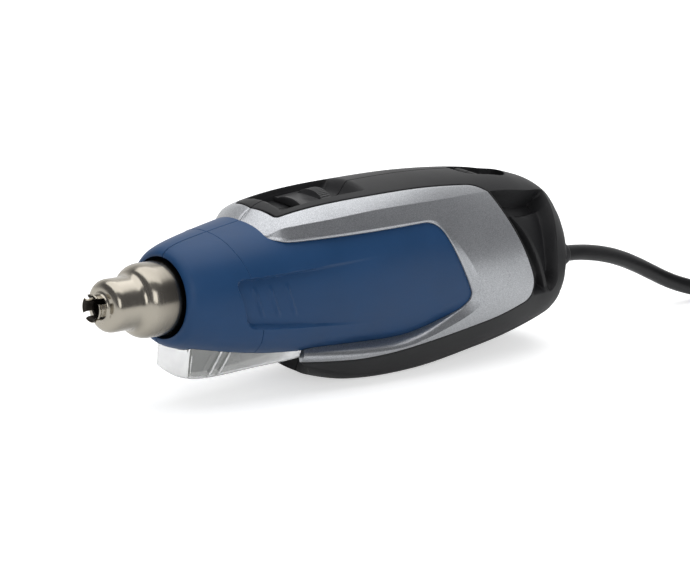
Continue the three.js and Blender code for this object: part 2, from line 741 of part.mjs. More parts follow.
function cordBoss() {
  const z0 = cordHeight - CLAMP_HEIGHT / 2;
  return block(clampStart, clampStart + CLAMP_LENGTH, -REACH, -cordRadius - FIT, z0, z0 + CLAMP_HEIGHT);
}

function bodyShell(sign) {
  let shell = carcassSolid.subtract(carcassHollow);
  const ledge = block(
    BOARD_FRONT + LEDGE_SETBACK, BOARD_FRONT + LEDGE_SETBACK + LEDGE_LENGTH,
    -REACH, -BOARD_WIDTH / 2 + LEDGE_OVERLAP,
    boardBottom - FIT - LEDGE_THICKNESS, boardBottom - FIT,
  );
  let fittings = ledge;
  for (const [x, z] of screwPlaces) fittings = fittings.add(rodAlongY(BOSS_DIAMETER / 2, -REACH, 0, x, z));
  if (sign < 0) fittings = fittings.add(cordBoss());
  shell = shell.add(fittings.intersect(carcass(-WALL / 2)));
  shell = shell.subtract(rodAlongX(mouthRadius, -REACH, COLLAR_START - FIT));
  shell = shell.subtract(rodAlongX(boreRadius, flangeRear - BOOT_FLANGE, REACH, cordHeight));
  shell = shell.subtract(trenchTool(TRENCH_FLOOR + FIT)).subtract(eyeTool(EYE_WALL + FIT));
  shell = shell.subtract(fingerRecess()).subtract(intakeSlots());
  shell = shell.intersect(leftHalf);
  if (sign > 0) shell = mirrored(shell);
  for (const [x, z] of screwPlaces) {
    shell = shell.subtract(screwHole(x, z));
    if (sign > 0) shell = shell.subtract(screwWell(x, z, FIT));
  }
  if (sign < 0) {
    for (const z of clampScrewHeights()) shell = shell.subtract(clampScrewHole(z));
  }
  return surface(shell);
}

// Covers on the shells: trim frame and grip

const underTable = block(-REACH, REACH, -REACH, REACH, -REACH, -KEEL_DEPTH);
const coverSolid = outerSolid.subtract(carcassSeat).subtract(underTable);

function trimFrame(sign) {
  const frame = coverSolid.subtract(gripZone(FIT)).subtract(panelZone()).intersect(leftHalf);
  return surface(sign > 0 ? mirrored(frame) : frame);
}

function gripShell(sign) {
  let grip = coverSolid.intersect(gripZone(0));
  const inside = outerSolid.intersect(trenchTool(TRENCH_FLOOR).add(eyeTool(EYE_WALL)));
  grip = grip.add(inside);
  grip = grip.subtract(trenchTool(0)).subtract(eyeTool(0)).add(eyeBar());
  grip = grip.subtract(intakePocket()).subtract(intakeSlots());
  grip = grip.subtract(rodAlongX(boreRadius, flangeRear - BOOT_FLANGE, REACH, cordHeight));
  const slot = STEM_LENGTH / 2 + SLIDER_TRAVEL + RUNNING_CLEARANCE;
  const slotWidth = STEM_WIDTH / 2 + RUNNING_CLEARANCE;
  const centre = trenchFloor(sliderPlace);
  const stemSlot = block(
    sliderPlace - slot, sliderPlace + slot, -slotWidth, slotWidth,
    centre - STEM_SLOT_DEPTH, centre + STEM_SLOT_DEPTH,
  );
  grip = grip.subtract(stemSlot).intersect(leftHalf);
  if (sign > 0) {
    grip = mirrored(grip);
    const [x, z] = screwPlaces.at(-1);
    grip = grip.subtract(screwWell(x, z, FIT));
  }
  return surface(grip);
}

// Thumb switch: a plate with a tall arched ridge behind and a thin blade in front

function archRidge(x, length, height) {
  const width = TRENCH_WIDTH / 2 - RUNNING_CLEARANCE * 2;
  const arch = new THREE.Shape();
  arch.moveTo(-width, 0);
  arch.quadraticCurveTo(-width * 0.6, height, 0, height);
  arch.quadraticCurveTo(width * 0.6, height, width, 0);
  arch.closePath();
  const ridge = new THREE.ExtrudeGeometry(arch, { depth: length, bevelEnabled: false, curveSegments: 6 });
  return solid(ridge.rotateX(Math.PI / 2).rotateZ(Math.PI / 2).translate(x, 0, 0));
}

function switchSlider() {
  const width = TRENCH_WIDTH / 2 - RUNNING_CLEARANCE * 2;
  const rear = SLIDER_LENGTH / 2;
  let slider = block(-rear, rear, -width, width, 0, SLIDER_PLATE);
  slider = slider.add(archRidge(rear - SLIDER_RIDGE_LENGTH, SLIDER_RIDGE_LENGTH, SLIDER_RIDGE_HEIGHT));
  slider = slider.add(archRidge(-rear, SLIDER_PLATE, SLIDER_BLADE_HEIGHT));
  const rise = trenchFloor(sliderPlace) - trenchFloor(floorStart);
  const depth = TRENCH_FLOOR + rise + 3 * FIT + STEM_BITE;
  const stem = STEM_LENGTH / 2;
  slider = slider.add(block(-stem, stem, -STEM_WIDTH / 2, STEM_WIDTH / 2, -depth, FIT));
  return surface(slider);
}

// Steel outlet: castellated tip, neck and tube drawn from one piece

function outlet() {
  const tip = -OUTLET_REACH;
  const neckFront = tip + CROWN_LENGTH + SHOULDER_LENGTH;
  const neckRear = neckFront + NECK_LENGTH;
  const tubeFront = neckRear + NECK_SHOULDER_LENGTH;
  const outside = [
    [tip, tipRadius + CROWN_FLARE],
    [tip + CROWN_FLARE, tipRadius + CROWN_FLARE],
    [tip + 3 * CROWN_FLARE, tipRadius],
    [tip + CROWN_LENGTH, tipRadius],
    ...shoulderCurve(tip + CROWN_LENGTH, tipRadius, neckFront, neckRadius),
    [neckRear, neckRadius],
    ...shoulderCurve(neckRear, neckRadius, tubeFront, tubeRadius),
    [TUBE_REAR, tubeRadius],
  ];
  const ends = [0, outside.length - 1];
  const inside = outside.map(([x, r], i) => [ends.includes(i) ? x : x + OUTLET_WALL / 2, r - OUTLET_WALL]);
  let body = turned([...outside, ...inside.reverse()]);
  for (const turn of [45, 135]) {
    const slot = new THREE.BoxGeometry(CROWN_SLOT_LENGTH, REACH, CROWN_SLOT_WIDTH);
    slot.rotateX(THREE.MathUtils.degToRad(turn)).translate(tip + CROWN_SLOT_LENGTH / 2 - FIT, 0, 0);
    body = body.subtract(solid(slot));
  }
  return surface(body);
}

// Rounded shoulder: a concave foot runs into a convex rim
function shoulderCurve(x0, r0, x1, r1) {
  const curve = new THREE.CubicBezierCurve(
    new THREE.Vector2(x0, r0),
    new THREE.Vector2(x0 + (x1 - x0) * 0.25, r0 + (r1 - r0) * 0.3),
    new THREE.Vector2(x0 + (x1 - x0) * 0.35, r1),
    new THREE.Vector2(x1, r1),
  );
  return curve.getPoints(4).slice(1).map((p) => [p.x, p.y]);
}

function outletCollar() {
  const disc = carcass(-WALL - FIT).intersect(
    block(COLLAR_START, COLLAR_START + COLLAR_LENGTH, -REACH, REACH, -REACH, REACH),
  );
  return surface(disc.subtract(rodAlongX(tubeRadius + FIT, -REACH, REACH, 0, 0, 40)));
}

// Heater: mica sleeve round a ceramic core with air channels

function micaSleeve() {
  const inner = sleeveRadius - SLEEVE_WALL;
  const end = heaterStart + HEATER_LENGTH;
  const wall = [[heaterStart, sleeveRadius], [end, sleeveRadius], [end, inner], [heaterStart, inner]];
  return surface(turned(wall));
}

function heaterCore() {
  let core = rodAlongX(heaterRadius, heaterStart, heaterStart + HEATER_LENGTH, 0, 0, 24);
  const circle = heaterRadius - CHANNEL_WALL - CHANNEL_DIAMETER / 2;
  const channel = (y, z) => rodAlongX(CHANNEL_DIAMETER / 2, -REACH, REACH, z, y, 8);
  core = core.subtract(channel(0, 0));
  for (let k = 0; k < CHANNEL_COUNT; k += 1) {
    const turn = (2 * Math.PI * k) / CHANNEL_COUNT;
    core = core.subtract(channel(circle * Math.cos(turn), circle * Math.sin(turn)));
  }
  return surface(core);
}

// Fan shroud, fan with its shaft, bulkhead and motor

function fanShroud() {
  const throat = tubeRadius + FIT;
  const start = TUBE_REAR - COLLAR_LENGTH;
  const wide = fanStart - RUNNING_CLEARANCE;
  const mouth = [[start, throat], [TUBE_REAR + FIT, throat]];
  const inner = [...mouth, [wide, shroudRadius], [shroudRear, shroudRadius]];
  const outer = inner.map(([x, r]) => [x, r + SHROUD_WALL]);
  return surface(turned([...outer, ...inner.reverse()]));
}

function fanRotor() {
  const end = fanStart + FAN_LENGTH;
  let rotor = rodAlongX(HUB_DIAMETER / 2, fanStart, end, 0, 0, 18);
  const length = fanRadius - HUB_DIAMETER / 2 + BLADE_ROOT;
  for (let k = 0; k < FAN_BLADES; k += 1) {
    const blade = new THREE.BoxGeometry(FAN_LENGTH - BLADE_THICKNESS, BLADE_THICKNESS, length);
    blade.rotateZ(THREE.MathUtils.degToRad(BLADE_PITCH_DEG));
    blade.translate(0, 0, HUB_DIAMETER / 2 - BLADE_ROOT + length / 2);
    blade.rotateX((2 * Math.PI * k) / FAN_BLADES).translate(fanStart + FAN_LENGTH / 2, 0, 0);
    rotor = rotor.add(solid(blade));
  }
  rotor = rotor.intersect(rodAlongX(fanRadius, fanStart, end, 0, 0, 36));
  const shaft = rodAlongX(SHAFT_DIAMETER / 2, end - BLADE_ROOT, motorStart + SHAFT_SEAT, 0, 0, 16);
  return surface(rotor.add(shaft));
}

function bulkhead() {
  const slab = block(bulkheadStart, bulkheadStart + BULKHEAD_THICKNESS, -REACH, REACH, -REACH, REACH);
  let plate = carcass(-WALL - FIT).intersect(slab);
  plate = plate.subtract(rodAlongX(SHAFT_DIAMETER / 2 + 2 * RUNNING_CLEARANCE, -REACH, REACH, 0, 0, 20));
  const port = (shroudRadius - MOTOR_DIAMETER / 2) / 2;
  const circle = MOTOR_DIAMETER / 2 + port;
  for (let k = 0; k < PORT_COUNT; k += 1) {
    const turn = (2 * Math.PI * k) / PORT_COUNT;
    const hole = rodAlongX(port, -REACH, REACH, circle * Math.sin(turn), circle * Math.cos(turn), 8);
    plate = plate.subtract(hole);
  }
  return surface(plate);
}

function motorCan() {
  const can = rodAlongX(MOTOR_DIAMETER / 2, motorStart, motorEnd, 0, 0, 36);
  const bore = SHAFT_DIAMETER / 2 + RUNNING_CLEARANCE;
  const depth = motorStart + SHAFT_SEAT + RUNNING_CLEARANCE;
  return surface(can.subtract(rodAlongX(bore, -REACH, depth, 0, 0, 16)));
}

function motorCap() {
  const start = motorEnd + FIT;
  const end = start + MOTOR_CAP_LENGTH;
  const rim = end - MOTOR_CAP_BOSS;
  let cap = rodAlongX(MOTOR_DIAMETER / 2 - MOTOR_CAP_STEP, start, rim, 0, 0, 30);
  cap = cap.add(rodAlongX(MOTOR_DIAMETER / 5, start + MOTOR_CAP_BOSS, end, 0, 0, 20));
  const thick = TERMINAL_THICKNESS / 2;
  const wide = TERMINAL_WIDTH / 2;
  for (const side of [-1, 1]) {
    const y = side * MOTOR_DIAMETER * 0.32;
    cap = cap.add(block(start + MOTOR_CAP_BOSS, end + TERMINAL_LENGTH, y - thick, y + thick, -wide, wide));
  }
  return surface(cap);
}

// Switch board with its slide switch and rectifier

function circuitBoard() {
  const w = BOARD_WIDTH / 2;
  return surface(block(BOARD_FRONT, BOARD_FRONT + BOARD_LENGTH, -w, w, boardBottom, boardTop));
}

function switchBody() {
  const l = SWITCH_LENGTH / 2;
  const w = SWITCH_WIDTH / 2;
  const z = boardTop + FIT;
  let body = block(sliderPlace - l, sliderPlace + l, -w, w, z, z + SWITCH_HEIGHT);
  const travel = SLIDER_TRAVEL + STEM_LENGTH / 2 + RUNNING_CLEARANCE;
  body = body.subtract(block(
    sliderPlace - travel, sliderPlace + travel, -STEM_WIDTH / 2 - FIT, STEM_WIDTH / 2 + FIT,
    z + SWITCH_HEIGHT / 2, z + SWITCH_HEIGHT + FIT,
  ));
  return surface(body);
}

function rectifier() {
  const x = sliderPlace + SWITCH_LENGTH / 2 + RECTIFIER_GAP;
  const w = RECTIFIER_SIZE / 2;
  const z = boardTop + FIT;
  return surface(block(x, x + RECTIFIER_SIZE, -w, w, z, z + SWITCH_HEIGHT));
}

// Work light: a clear trough under the nose and the lamp in it

function lensOutline(inset) {
  const front = LENS_FRONT + inset;
  const rear = KEEL_TIP - FIT - inset;
  const floor = -LENS_DEPTH + inset;
  return filleted([
    [front, 0],
    [front, floor + LENS_TOE, LENS_TOE],
    [front + LENS_BOW, floor, LENS_BOW],
    [rear, floor + LENS_RISE],
    [rear, 0],
  ]);
}

function workLightLens() {
  const w = LENS_WIDTH / 2;
  const hollow = sidePrism(lensOutline(LENS_WALL), -w + LENS_WALL, w - LENS_WALL);
  return surface(sidePrism(lensOutline(0), -w, w).subtract(hollow).subtract(carcassSeat));
}

function workLamp() {
  const start = LENS_FRONT + LENS_WALL + LED_GAP;
  const end = start + LED_LENGTH;
  const radius = LED_DIAMETER / 2;
  const rim = radius * LED_RIM_SHARE;
  const z = -(noseRadius + carcassBottom(end) + 2 * FIT + rim);
  const lamp = rodAlongX(radius, start + radius, end, z, 0, 12);
  const dome = new THREE.SphereGeometry(radius, 12, 6).rotateZ(Math.PI / 2).translate(start + radius, 0, z);
  return surface(lamp.add(solid(dome)).add(rodAlongX(rim, end - LED_RIM, end, z, 0, 12)));
}

// Fasteners

function housingScrew(x, z) {
  const seat = SCREW_SEAT + FIT;
  const head = rodAlongY(SCREW_HEAD_DIAMETER / 2, seat, seat + SCREW_HEAD_LENGTH, x, z, 12);
  return surface(head.add(rodAlongY(SCREW_DIAMETER / 2, -SCREW_REACH, seat + SCREW_JOIN, x, z, 14)));
}

function clampScrewHeights() {
  return [cordHeight - CLAMP_SCREW_PITCH / 2, cordHeight + CLAMP_SCREW_PITCH / 2];
}

const clampMiddle = clampStart + CLAMP_LENGTH / 2;
const clampFace = cordRadius + FIT + CLAMP_THICKNESS;

const clampScrewEnd = -cordRadius - SCREW_REACH / 2;

function clampScrewHole(z) {
  return rodAlongY(SCREW_DIAMETER / 2 + FIT, clampScrewEnd - FIT, REACH, clampMiddle, z, 14);
}

function clampScrew(z) {
  const seat = clampFace + FIT;
  const head = rodAlongY(SCREW_HEAD_DIAMETER / 2, seat, seat + SCREW_HEAD_LENGTH, clampMiddle, z, 12);
  const stem = rodAlongY(SCREW_DIAMETER / 2, clampScrewEnd, seat + SCREW_JOIN, clampMiddle, z, 14);
  return surface(head.add(stem));
}

function cordClamp() {
  const z0 = cordHeight - CLAMP_HEIGHT / 2;
  let bar = block(clampStart, clampStart + CLAMP_LENGTH, cordRadius + FIT, clampFace, z0, z0 + CLAMP_HEIGHT);
  for (const z of clampScrewHeights()) bar = bar.subtract(clampScrewHole(z));
  return surface(bar);
}

// Mains lead

function strainRelief() {
  const inner = cordRadius + FIT;
  const tip = BODY_LENGTH + BOOT_REACH;
  const profile = [
    [flangeRear - BOOT_FLANGE, BOOT_FLANGE_DIAMETER / 2],
    [flangeRear, BOOT_FLANGE_DIAMETER / 2],
    [flangeRear, BOOT_DIAMETER / 2],
    [BODY_LENGTH, BOOT_DIAMETER / 2],
    [tip, BOOT_TIP_DIAMETER / 2],
    [tip, inner],
    [flangeRear - BOOT_FLANGE, inner],
  ];
  return surface(turned(profile, 20)).translate(0, 0, cordHeight);
}

// Round tube along a curve, square at both ends.
function tube(points, radius, steps, sides) {
  const section = new THREE.Shape();
  section.absarc(0, 0, radius, 0, 2 * Math.PI);
  const extrudePath = new THREE.CatmullRomCurve3(points.map((p) => new THREE.Vector3(...p)));
  const curveSegments = sides / 2;
  return new THREE.ExtrudeGeometry(section, { extrudePath, steps, curveSegments, bevelEnabled: false });
}

const turnPitch = CORD_DIAMETER + TURN_GAP;
const swing = THREE.MathUtils.degToRad(SWING_DEG);
const coilTurns = COIL_ROUNDS + 0.5 + SWING_DEG / 360;
const layerTurns = (coilTurns - (COIL_LAYERS - 1) * COIL_CLIMB) / COIL_LAYERS;
const coilRadius = (COIL_MIDDLE_DIAMETER + layerTurns * turnPitch) / 2;
const coilLow = -KEEL_DEPTH + TIE_THICKNESS + FIT + cordRadius;
const coilHigh = coilLow + (COIL_LAYERS - 1) * turnPitch;
const swingAlong = [Math.cos(swing), Math.sin(swing)];
const swingEnd = [SWING_START + SWING_RADIUS * Math.sin(swing), SWING_RADIUS * (1 - Math.cos(swing))];
const coilEntry = swingEnd.map((place, k) => place + CORD_DIAMETER * swingAlong[k]);
const coilX = coilEntry[0] + CORD_DIAMETER * swingAlong[0] + coilRadius * swingAlong[1];
const coilY = coilEntry[1] + CORD_DIAMETER * swingAlong[1] - coilRadius * swingAlong[0];
const coilEndX = coilX - CORD_DIAMETER;
const coilEndY = coilY - coilRadius;
const plugRear = coilEndX - PLUG_LEAD;
const plugHeight = -KEEL_DEPTH + PLUG_HEIGHT / 2;
const plugSide = coilEndY + PLUG_SHIFT;

// The lead as it lies: straight out of the boot, down to the table, aside and into the coil.
const CORD_ROUTE = [
  [cordInnerEnd, 0, cordHeight],
  [165, 0, cordHeight],
  [180, 0, cordHeight],
  [195, 0, cordHeight],
  [209, 0, cordHeight],
  [219, 0, cordHeight - 0.4],
  [229, 0, cordHeight - 1.7],
  [238, 0, cordHeight - 3.5],
  [247, 0, cordHeight - 6],
  [258, 0, cordHeight - 10],
  [269, 0, cordHeight - 14.6],
  [280, 0, cordHeight - 19.2],
  [291, 0, cordHeight - 23],
  [302, 0, coilLow + 0.7],
  [308, 0.7, coilLow + 0.3],
  [313.7, 2.6, coilLow + 0.1],
  [...swingEnd, coilLow],
  [swingEnd[0] + cordRadius * swingAlong[0], swingEnd[1] + cordRadius * swingAlong[1], coilLow],
  [coilEntry[0] - FIT * swingAlong[0], coilEntry[1] - FIT * swingAlong[1], coilLow],
];
const PLUG_ROUTE = [
  [coilEndX - FIT, coilEndY, coilHigh],
  [coilEndX - 4, coilEndY, coilHigh - 0.3],
  [coilEndX - 10.5, coilEndY + 0.7, coilHigh - 2.4],
  [coilEndX - 21, coilEndY + 2.8, coilHigh - 9.7],
  [coilEndX - 31.5, coilEndY + 4.8, coilHigh - 17.1],
  [plugRear + 4, plugSide, plugHeight + 0.3],
  [plugRear, plugSide, plugHeight],
];

// How many pitches a turn lies inside the outermost one: in and out again, layer by layer.
function turnsInside(turns) {
  const run = layerTurns + COIL_CLIMB;
  const stretch = Math.floor((turns + COIL_CLIMB / 2) / run);
  return stretch % 2 === 0 ? turns - stretch * run : (stretch + 1) * run - turns - COIL_CLIMB;
}

// Layers of turns: in along one, up a layer in half a turn, out along the next.
function coilPoints() {
  const points = [new THREE.Vector3(...coilEntry, coilLow)];
  const steps = Math.round(coilTurns * TURN_STEPS);
  for (let k = 0; k <= steps; k += 1) {
    const turns = (k * coilTurns) / steps;
    const radius = coilRadius - turnsInside(turns) * turnPitch;
    let layer = 0;
    for (let climb = 1; climb < COIL_LAYERS; climb += 1) {
      const start = climb * layerTurns + (climb - 1) * COIL_CLIMB;
      layer += THREE.MathUtils.smoothstep(turns, start, start + COIL_CLIMB);
    }
    const angle = Math.PI / 2 + swing - 2 * Math.PI * turns;
    points.push(new THREE.Vector3(
      coilX + radius * Math.cos(angle),
      coilY + radius * Math.sin(angle),
      coilLow + layer * turnPitch,
    ));
  }
  points.push(new THREE.Vector3(coilEndX, coilEndY, coilHigh));
  return points;
}

function leastTurnGap(points) {
  let least = Infinity;
  for (let a = 0; a < points.length; a += 1) {
    for (let b = a + TURN_STEPS / 2; b < points.length; b += 1) {
      least = Math.min(least, points[a].distanceTo(points[b]) - CORD_DIAMETER);
    }
  }
  return least;
}

function cordCoil() {
  const points = coilPoints();
  console.log(`least gap between the turns of the coil: ${leastTurnGap(points).toFixed(2)} mm`);
  const up = new THREE.Vector3(0, 0, 1);
  return surface(loft(points.map((point, k) => {
    const before = points[Math.max(k - 1, 0)];
    const after = points[Math.min(k + 1, points.length - 1)];
    const tangent = after.clone().sub(before).normalize();
    const across = up.clone().cross(tangent).normalize();
    const over = tangent.clone().cross(across);
    return Array.from({ length: TURN_SIDES }, (_, side) => {
      const turn = (2 * Math.PI * side) / TURN_SIDES;
      return point.clone()
        .addScaledVector(across, cordRadius * Math.cos(turn))
        .addScaledVector(over, cordRadius * Math.sin(turn));
    });
  })));
}

function coilTie() {
  const inner = coilRadius - layerTurns * turnPitch - cordRadius - TIE_SLACK;
  const outer = coilRadius + cordRadius + TIE_SLACK;
  const low = coilLow - cordRadius - FIT;
  const high = coilHigh + cordRadius + FIT;
  const frame = (grow) => filleted([
    [coilX + inner - grow, low - grow, TIE_FILLET + grow],
    [coilX + outer + grow, low - grow, TIE_FILLET + grow],
    [coilX + outer + grow, high + grow, TIE_FILLET + grow],
    [coilX + inner - grow, high + grow, TIE_FILLET + grow],
  ]);
  const y0 = coilY - TIE_WIDTH / 2;
  const band = sidePrism(frame(TIE_THICKNESS), y0, y0 + TIE_WIDTH);
  return surface(band.subtract(sidePrism(frame(0), -REACH, REACH)));
}

function plugBody() {
  const rear = plugRear - FIT;
  const front = rear - PLUG_LENGTH;
  const waist = rear - PLUG_LENGTH * PLUG_WAIST_SHARE;
  const wide = PLUG_WIDTH / 2;
  const tall = PLUG_HEIGHT / 2;
  const neck = cordRadius + PLUG_NECK_WALL;
  const plan = filleted([
    [rear, plugSide - neck, PLUG_NECK_FILLET],
    [rear, plugSide + neck, PLUG_NECK_FILLET],
    [waist, plugSide + wide, PLUG_WAIST_FILLET],
    [front, plugSide + wide - PLUG_EDGE_FILLET, PLUG_EDGE_FILLET],
    [front, plugSide - wide + PLUG_EDGE_FILLET, PLUG_EDGE_FILLET],
    [waist, plugSide - wide, PLUG_WAIST_FILLET],
  ]);
  const side = filleted([
    [rear, plugHeight - neck, PLUG_NECK_FILLET],
    [waist, plugHeight - tall, PLUG_WAIST_FILLET],
    [front, plugHeight - tall, PLUG_EDGE_FILLET],
    [front, plugHeight + tall, PLUG_EDGE_FILLET],
    [waist, plugHeight + tall, PLUG_WAIST_FILLET],
    [rear, plugHeight + neck, PLUG_NECK_FILLET],
  ]);
  return surface(planPrism(plan, -REACH, REACH).intersect(sidePrism(side, -REACH, REACH)));
}

function plugPin(side) {
  const face = plugRear - FIT - PLUG_LENGTH - FIT;
  const y = plugSide + (side * PIN_PITCH) / 2;
  return surface(rodAlongX(PIN_DIAMETER / 2, face - PIN_LENGTH, face, plugHeight, y, 14));
}

// Materials and assembly

const plastic = (color, roughness) => new THREE.MeshStandardMaterial({ color, roughness, metalness: 0 });
const metal = (color, roughness) => new THREE.MeshStandardMaterial({ color, roughness, metalness: 1 });
const bodyBlue = plastic(0x21457c, 0.5);
const trimSilver = plastic(0xb4b7ba, 0.4);
const gripBlack = plastic(0x26272a, 0.7);
const darkPlastic = plastic(0x1c1d1f, 0.5);
const clearPlastic = plastic(0xe4e8ea, 0.1);
const cordBlack = plastic(0x1b1c1e, 0.6);
const drawnSteel = metal(0xc4bfb6, 0.28);
const screwSteel = metal(0x9b9da0, 0.35);
const ceramic = plastic(0xe8e2d6, 0.8);
const mica = plastic(0xb9a98a, 0.5);
const fanGrey = plastic(0x4a4d52, 0.5);
const boardGreen = plastic(0x2f6a45, 0.5);
const lampWhite = plastic(0xf3f1e6, 0.2);

const tool = new THREE.Group();
tool.position.set(-(BODY_LENGTH + BOOT_REACH - OUTLET_REACH) / 2, 0, KEEL_DEPTH);

function add(name, geometry, material) {
  const mesh = new THREE.Mesh(geometry, material);
  mesh.name = name;
  tool.add(mesh);
  return mesh;
}

add('left_body_shell', bodyShell(-1), bodyBlue);
add('right_body_shell', bodyShell(1), bodyBlue);
add('left_trim_frame', trimFrame(-1), trimSilver);
add('right_trim_frame', trimFrame(1), trimSilver);
add('left_grip_shell', gripShell(-1), gripBlack);
add('right_grip_shell', gripShell(1), gripBlack);
add('outlet_nozzle', outlet(), drawnSteel);
add('outlet_collar', outletCollar(), ceramic);
add('mica_sleeve', micaSleeve(), mica);
add('heater_core', heaterCore(), ceramic);
add('fan_shroud', fanShroud(), darkPlastic);
add('fan_rotor', fanRotor(), fanGrey);
add('motor_bulkhead', bulkhead(), darkPlastic);
add('motor_can', motorCan(), screwSteel);
add('motor_cap', motorCap(), darkPlastic);
add('circuit_board', circuitBoard(), boardGreen);
add('switch_body', switchBody(), darkPlastic);
add('rectifier', rectifier(), darkPlastic);
add('work_light_lens', workLightLens(), clearPlastic);
add('work_lamp', workLamp(), lampWhite);
screwPlaces.forEach(([x, z], k) => add(`housing_screw_${k + 1}`, housingScrew(x, z), screwSteel));
clampScrewHeights().forEach((z, k) => add(`clamp_screw_${k + 1}`, clampScrew(z), screwSteel));
add('cord_clamp', cordClamp(), darkPlastic);
add('strain_relief', strainRelief(), cordBlack);
add('supply_cord', tube(CORD_ROUTE, cordRadius, 38, 10), cordBlack);
add('cord_coil', cordCoil(), cordBlack);
add('cord_end', tube(PLUG_ROUTE, cordRadius, 12, 10), cordBlack);
add('coil_tie', coilTie(), darkPlastic);
add('plug_body', plugBody(), cordBlack);
add('plug_pin_1', plugPin(-1), screwSteel);
add('plug_pin_2', plugPin(1), screwSteel);

const slider = add('switch_slider', switchSlider(), darkPlastic);
slider.position.set(sliderPlace, 0, trenchFloor(sliderPlace) + FIT);
slider.rotation.y = -floorSlope;

export default tool;
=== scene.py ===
import math
from functools import lru_cache

import bmesh
import bpy
from mathutils import Matrix, Vector
from mathutils.geometry import interpolate_bezier


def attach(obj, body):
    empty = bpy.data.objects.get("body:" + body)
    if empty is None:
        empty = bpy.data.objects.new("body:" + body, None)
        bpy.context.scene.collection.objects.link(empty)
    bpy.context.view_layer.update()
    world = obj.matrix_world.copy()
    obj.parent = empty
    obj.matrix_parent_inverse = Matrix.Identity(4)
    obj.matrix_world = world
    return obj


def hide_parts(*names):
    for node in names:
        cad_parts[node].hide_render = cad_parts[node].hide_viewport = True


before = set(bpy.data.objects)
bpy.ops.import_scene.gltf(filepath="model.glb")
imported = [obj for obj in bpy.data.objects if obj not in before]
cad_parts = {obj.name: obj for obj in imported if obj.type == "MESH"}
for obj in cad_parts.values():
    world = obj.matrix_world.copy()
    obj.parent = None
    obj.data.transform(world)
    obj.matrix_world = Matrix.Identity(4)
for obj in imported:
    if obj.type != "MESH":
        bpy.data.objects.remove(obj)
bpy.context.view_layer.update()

scene = bpy.context.scene
scene.view_settings.view_transform = "Standard"

# Studio: a pale floor under a large soft light frame overhead, a weaker one on the left and white
# walls round it. The camera stands at the front left, a little above the tool, where the
# photograph was taken from, and leans by five degrees.
VIEW_POINT = Vector((-0.6153, -0.6250, 0.2736))
AIM_POINT = Vector((-0.0416, -0.0408, 0.0503))
CAMERA_LEAN = math.radians(5.19)
FLOOR_GLOW = 0.55
FLOOR_SHEEN = 0.2
camera_data = bpy.data.cameras.new("studio_camera")
camera_data.sensor_fit = "HORIZONTAL"
camera_data.sensor_width = 36
camera_data.lens = 127.8
camera_data.clip_start = 0.01
camera = bpy.data.objects.new("studio_camera", camera_data)
level = (AIM_POINT - VIEW_POINT).to_track_quat("-Z", "Y").to_matrix()
camera.matrix_world = Matrix.Translation(VIEW_POINT) @ (
    level @ Matrix.Rotation(CAMERA_LEAN, 3, "Z")
).to_4x4()
scene.collection.objects.link(camera)
scene.camera = camera


def soft_light(name, place, aim, width, length, watts):
    data = bpy.data.lights.new(name, "AREA")
    data.shape = "RECTANGLE"
    data.size = width
    data.size_y = length
    data.energy = watts
    lamp = bpy.data.objects.new(name, data)
    turn = (Vector(aim) - Vector(place)).to_track_quat("-Z", "Y").to_matrix()
    lamp.matrix_world = Matrix.Translation(place) @ turn.to_4x4()
    scene.collection.objects.link(lamp)


soft_light("overhead_frame", (0.05, 0.22, 1.35), (0, 0, 0.03), 2.2, 1.7, 21)
soft_light("left_frame", (-0.75, -1.1, 0.55), (0, 0, 0.03), 0.8, 0.8, 4)


def node(tree, kind):
    return tree.nodes.new("ShaderNode" + kind)


def ramp(tree, source, target, low, high, positions=(0.3, 0.7)):
    """Carries a value through a band between two colours into a socket."""
    band = node(tree, "ValToRGB")
    for element, position, colour in zip(band.color_ramp.elements, positions, (low, high)):
        element.position = position
        element.color = (*colour, 1)
    tree.links.new(source, band.inputs["Fac"])
    tree.links.new(band.outputs["Color"], target)


def sight(tree):
    """The light path, and a node that is 1 where the camera looks straight or through clear plastic."""
    path = node(tree, "LightPath")
    direct = node(tree, "Math")
    direct.operation = "MAXIMUM"
    tree.links.new(path.outputs["Is Camera Ray"], direct.inputs[0])
    tree.links.new(path.outputs["Is Transmission Ray"], direct.inputs[1])
    return path, direct


walls = bpy.data.worlds.new("studio_walls")
walls.use_nodes = True
scene.world = walls
tree = walls.node_tree
tree.nodes.clear()
path, direct = sight(tree)
shine = node(tree, "Background")
shine.inputs["Color"].default_value = (1, 1, 1, 1)
fill = node(tree, "Background")
fill.inputs["Color"].default_value = (0.96, 0.98, 1, 1)
fill.inputs["Strength"].default_value = 0.42

# Metal sees a white backdrop behind the tool, a dim ceiling and the dim room on the camera's side.
looking = node(tree, "TexCoord")
towards = node(tree, "VectorMath")
towards.operation = "DOT_PRODUCT"
towards.inputs[1].default_value = (0.62, 0.62, -0.48)
tree.links.new(looking.outputs["Generated"], towards.inputs[0])
mirrored_walls = node(tree, "Background")
ramp(tree, towards.outputs["Value"], mirrored_walls.inputs["Color"], (0.16, 0.16, 0.17), (1, 1, 1), (0, 0.55))
glossy_mix = node(tree, "MixShader")
tree.links.new(path.outputs["Is Glossy Ray"], glossy_mix.inputs[0])
tree.links.new(fill.outputs[0], glossy_mix.inputs[1])
tree.links.new(mirrored_walls.outputs[0], glossy_mix.inputs[2])
wall_mix = node(tree, "MixShader")
tree.links.new(direct.outputs[0], wall_mix.inputs[0])
tree.links.new(glossy_mix.outputs[0], wall_mix.inputs[1])
tree.links.new(shine.outputs[0], wall_mix.inputs[2])
world_out = node(tree, "OutputWorld")
tree.links.new(wall_mix.outputs[0], world_out.inputs["Surface"])

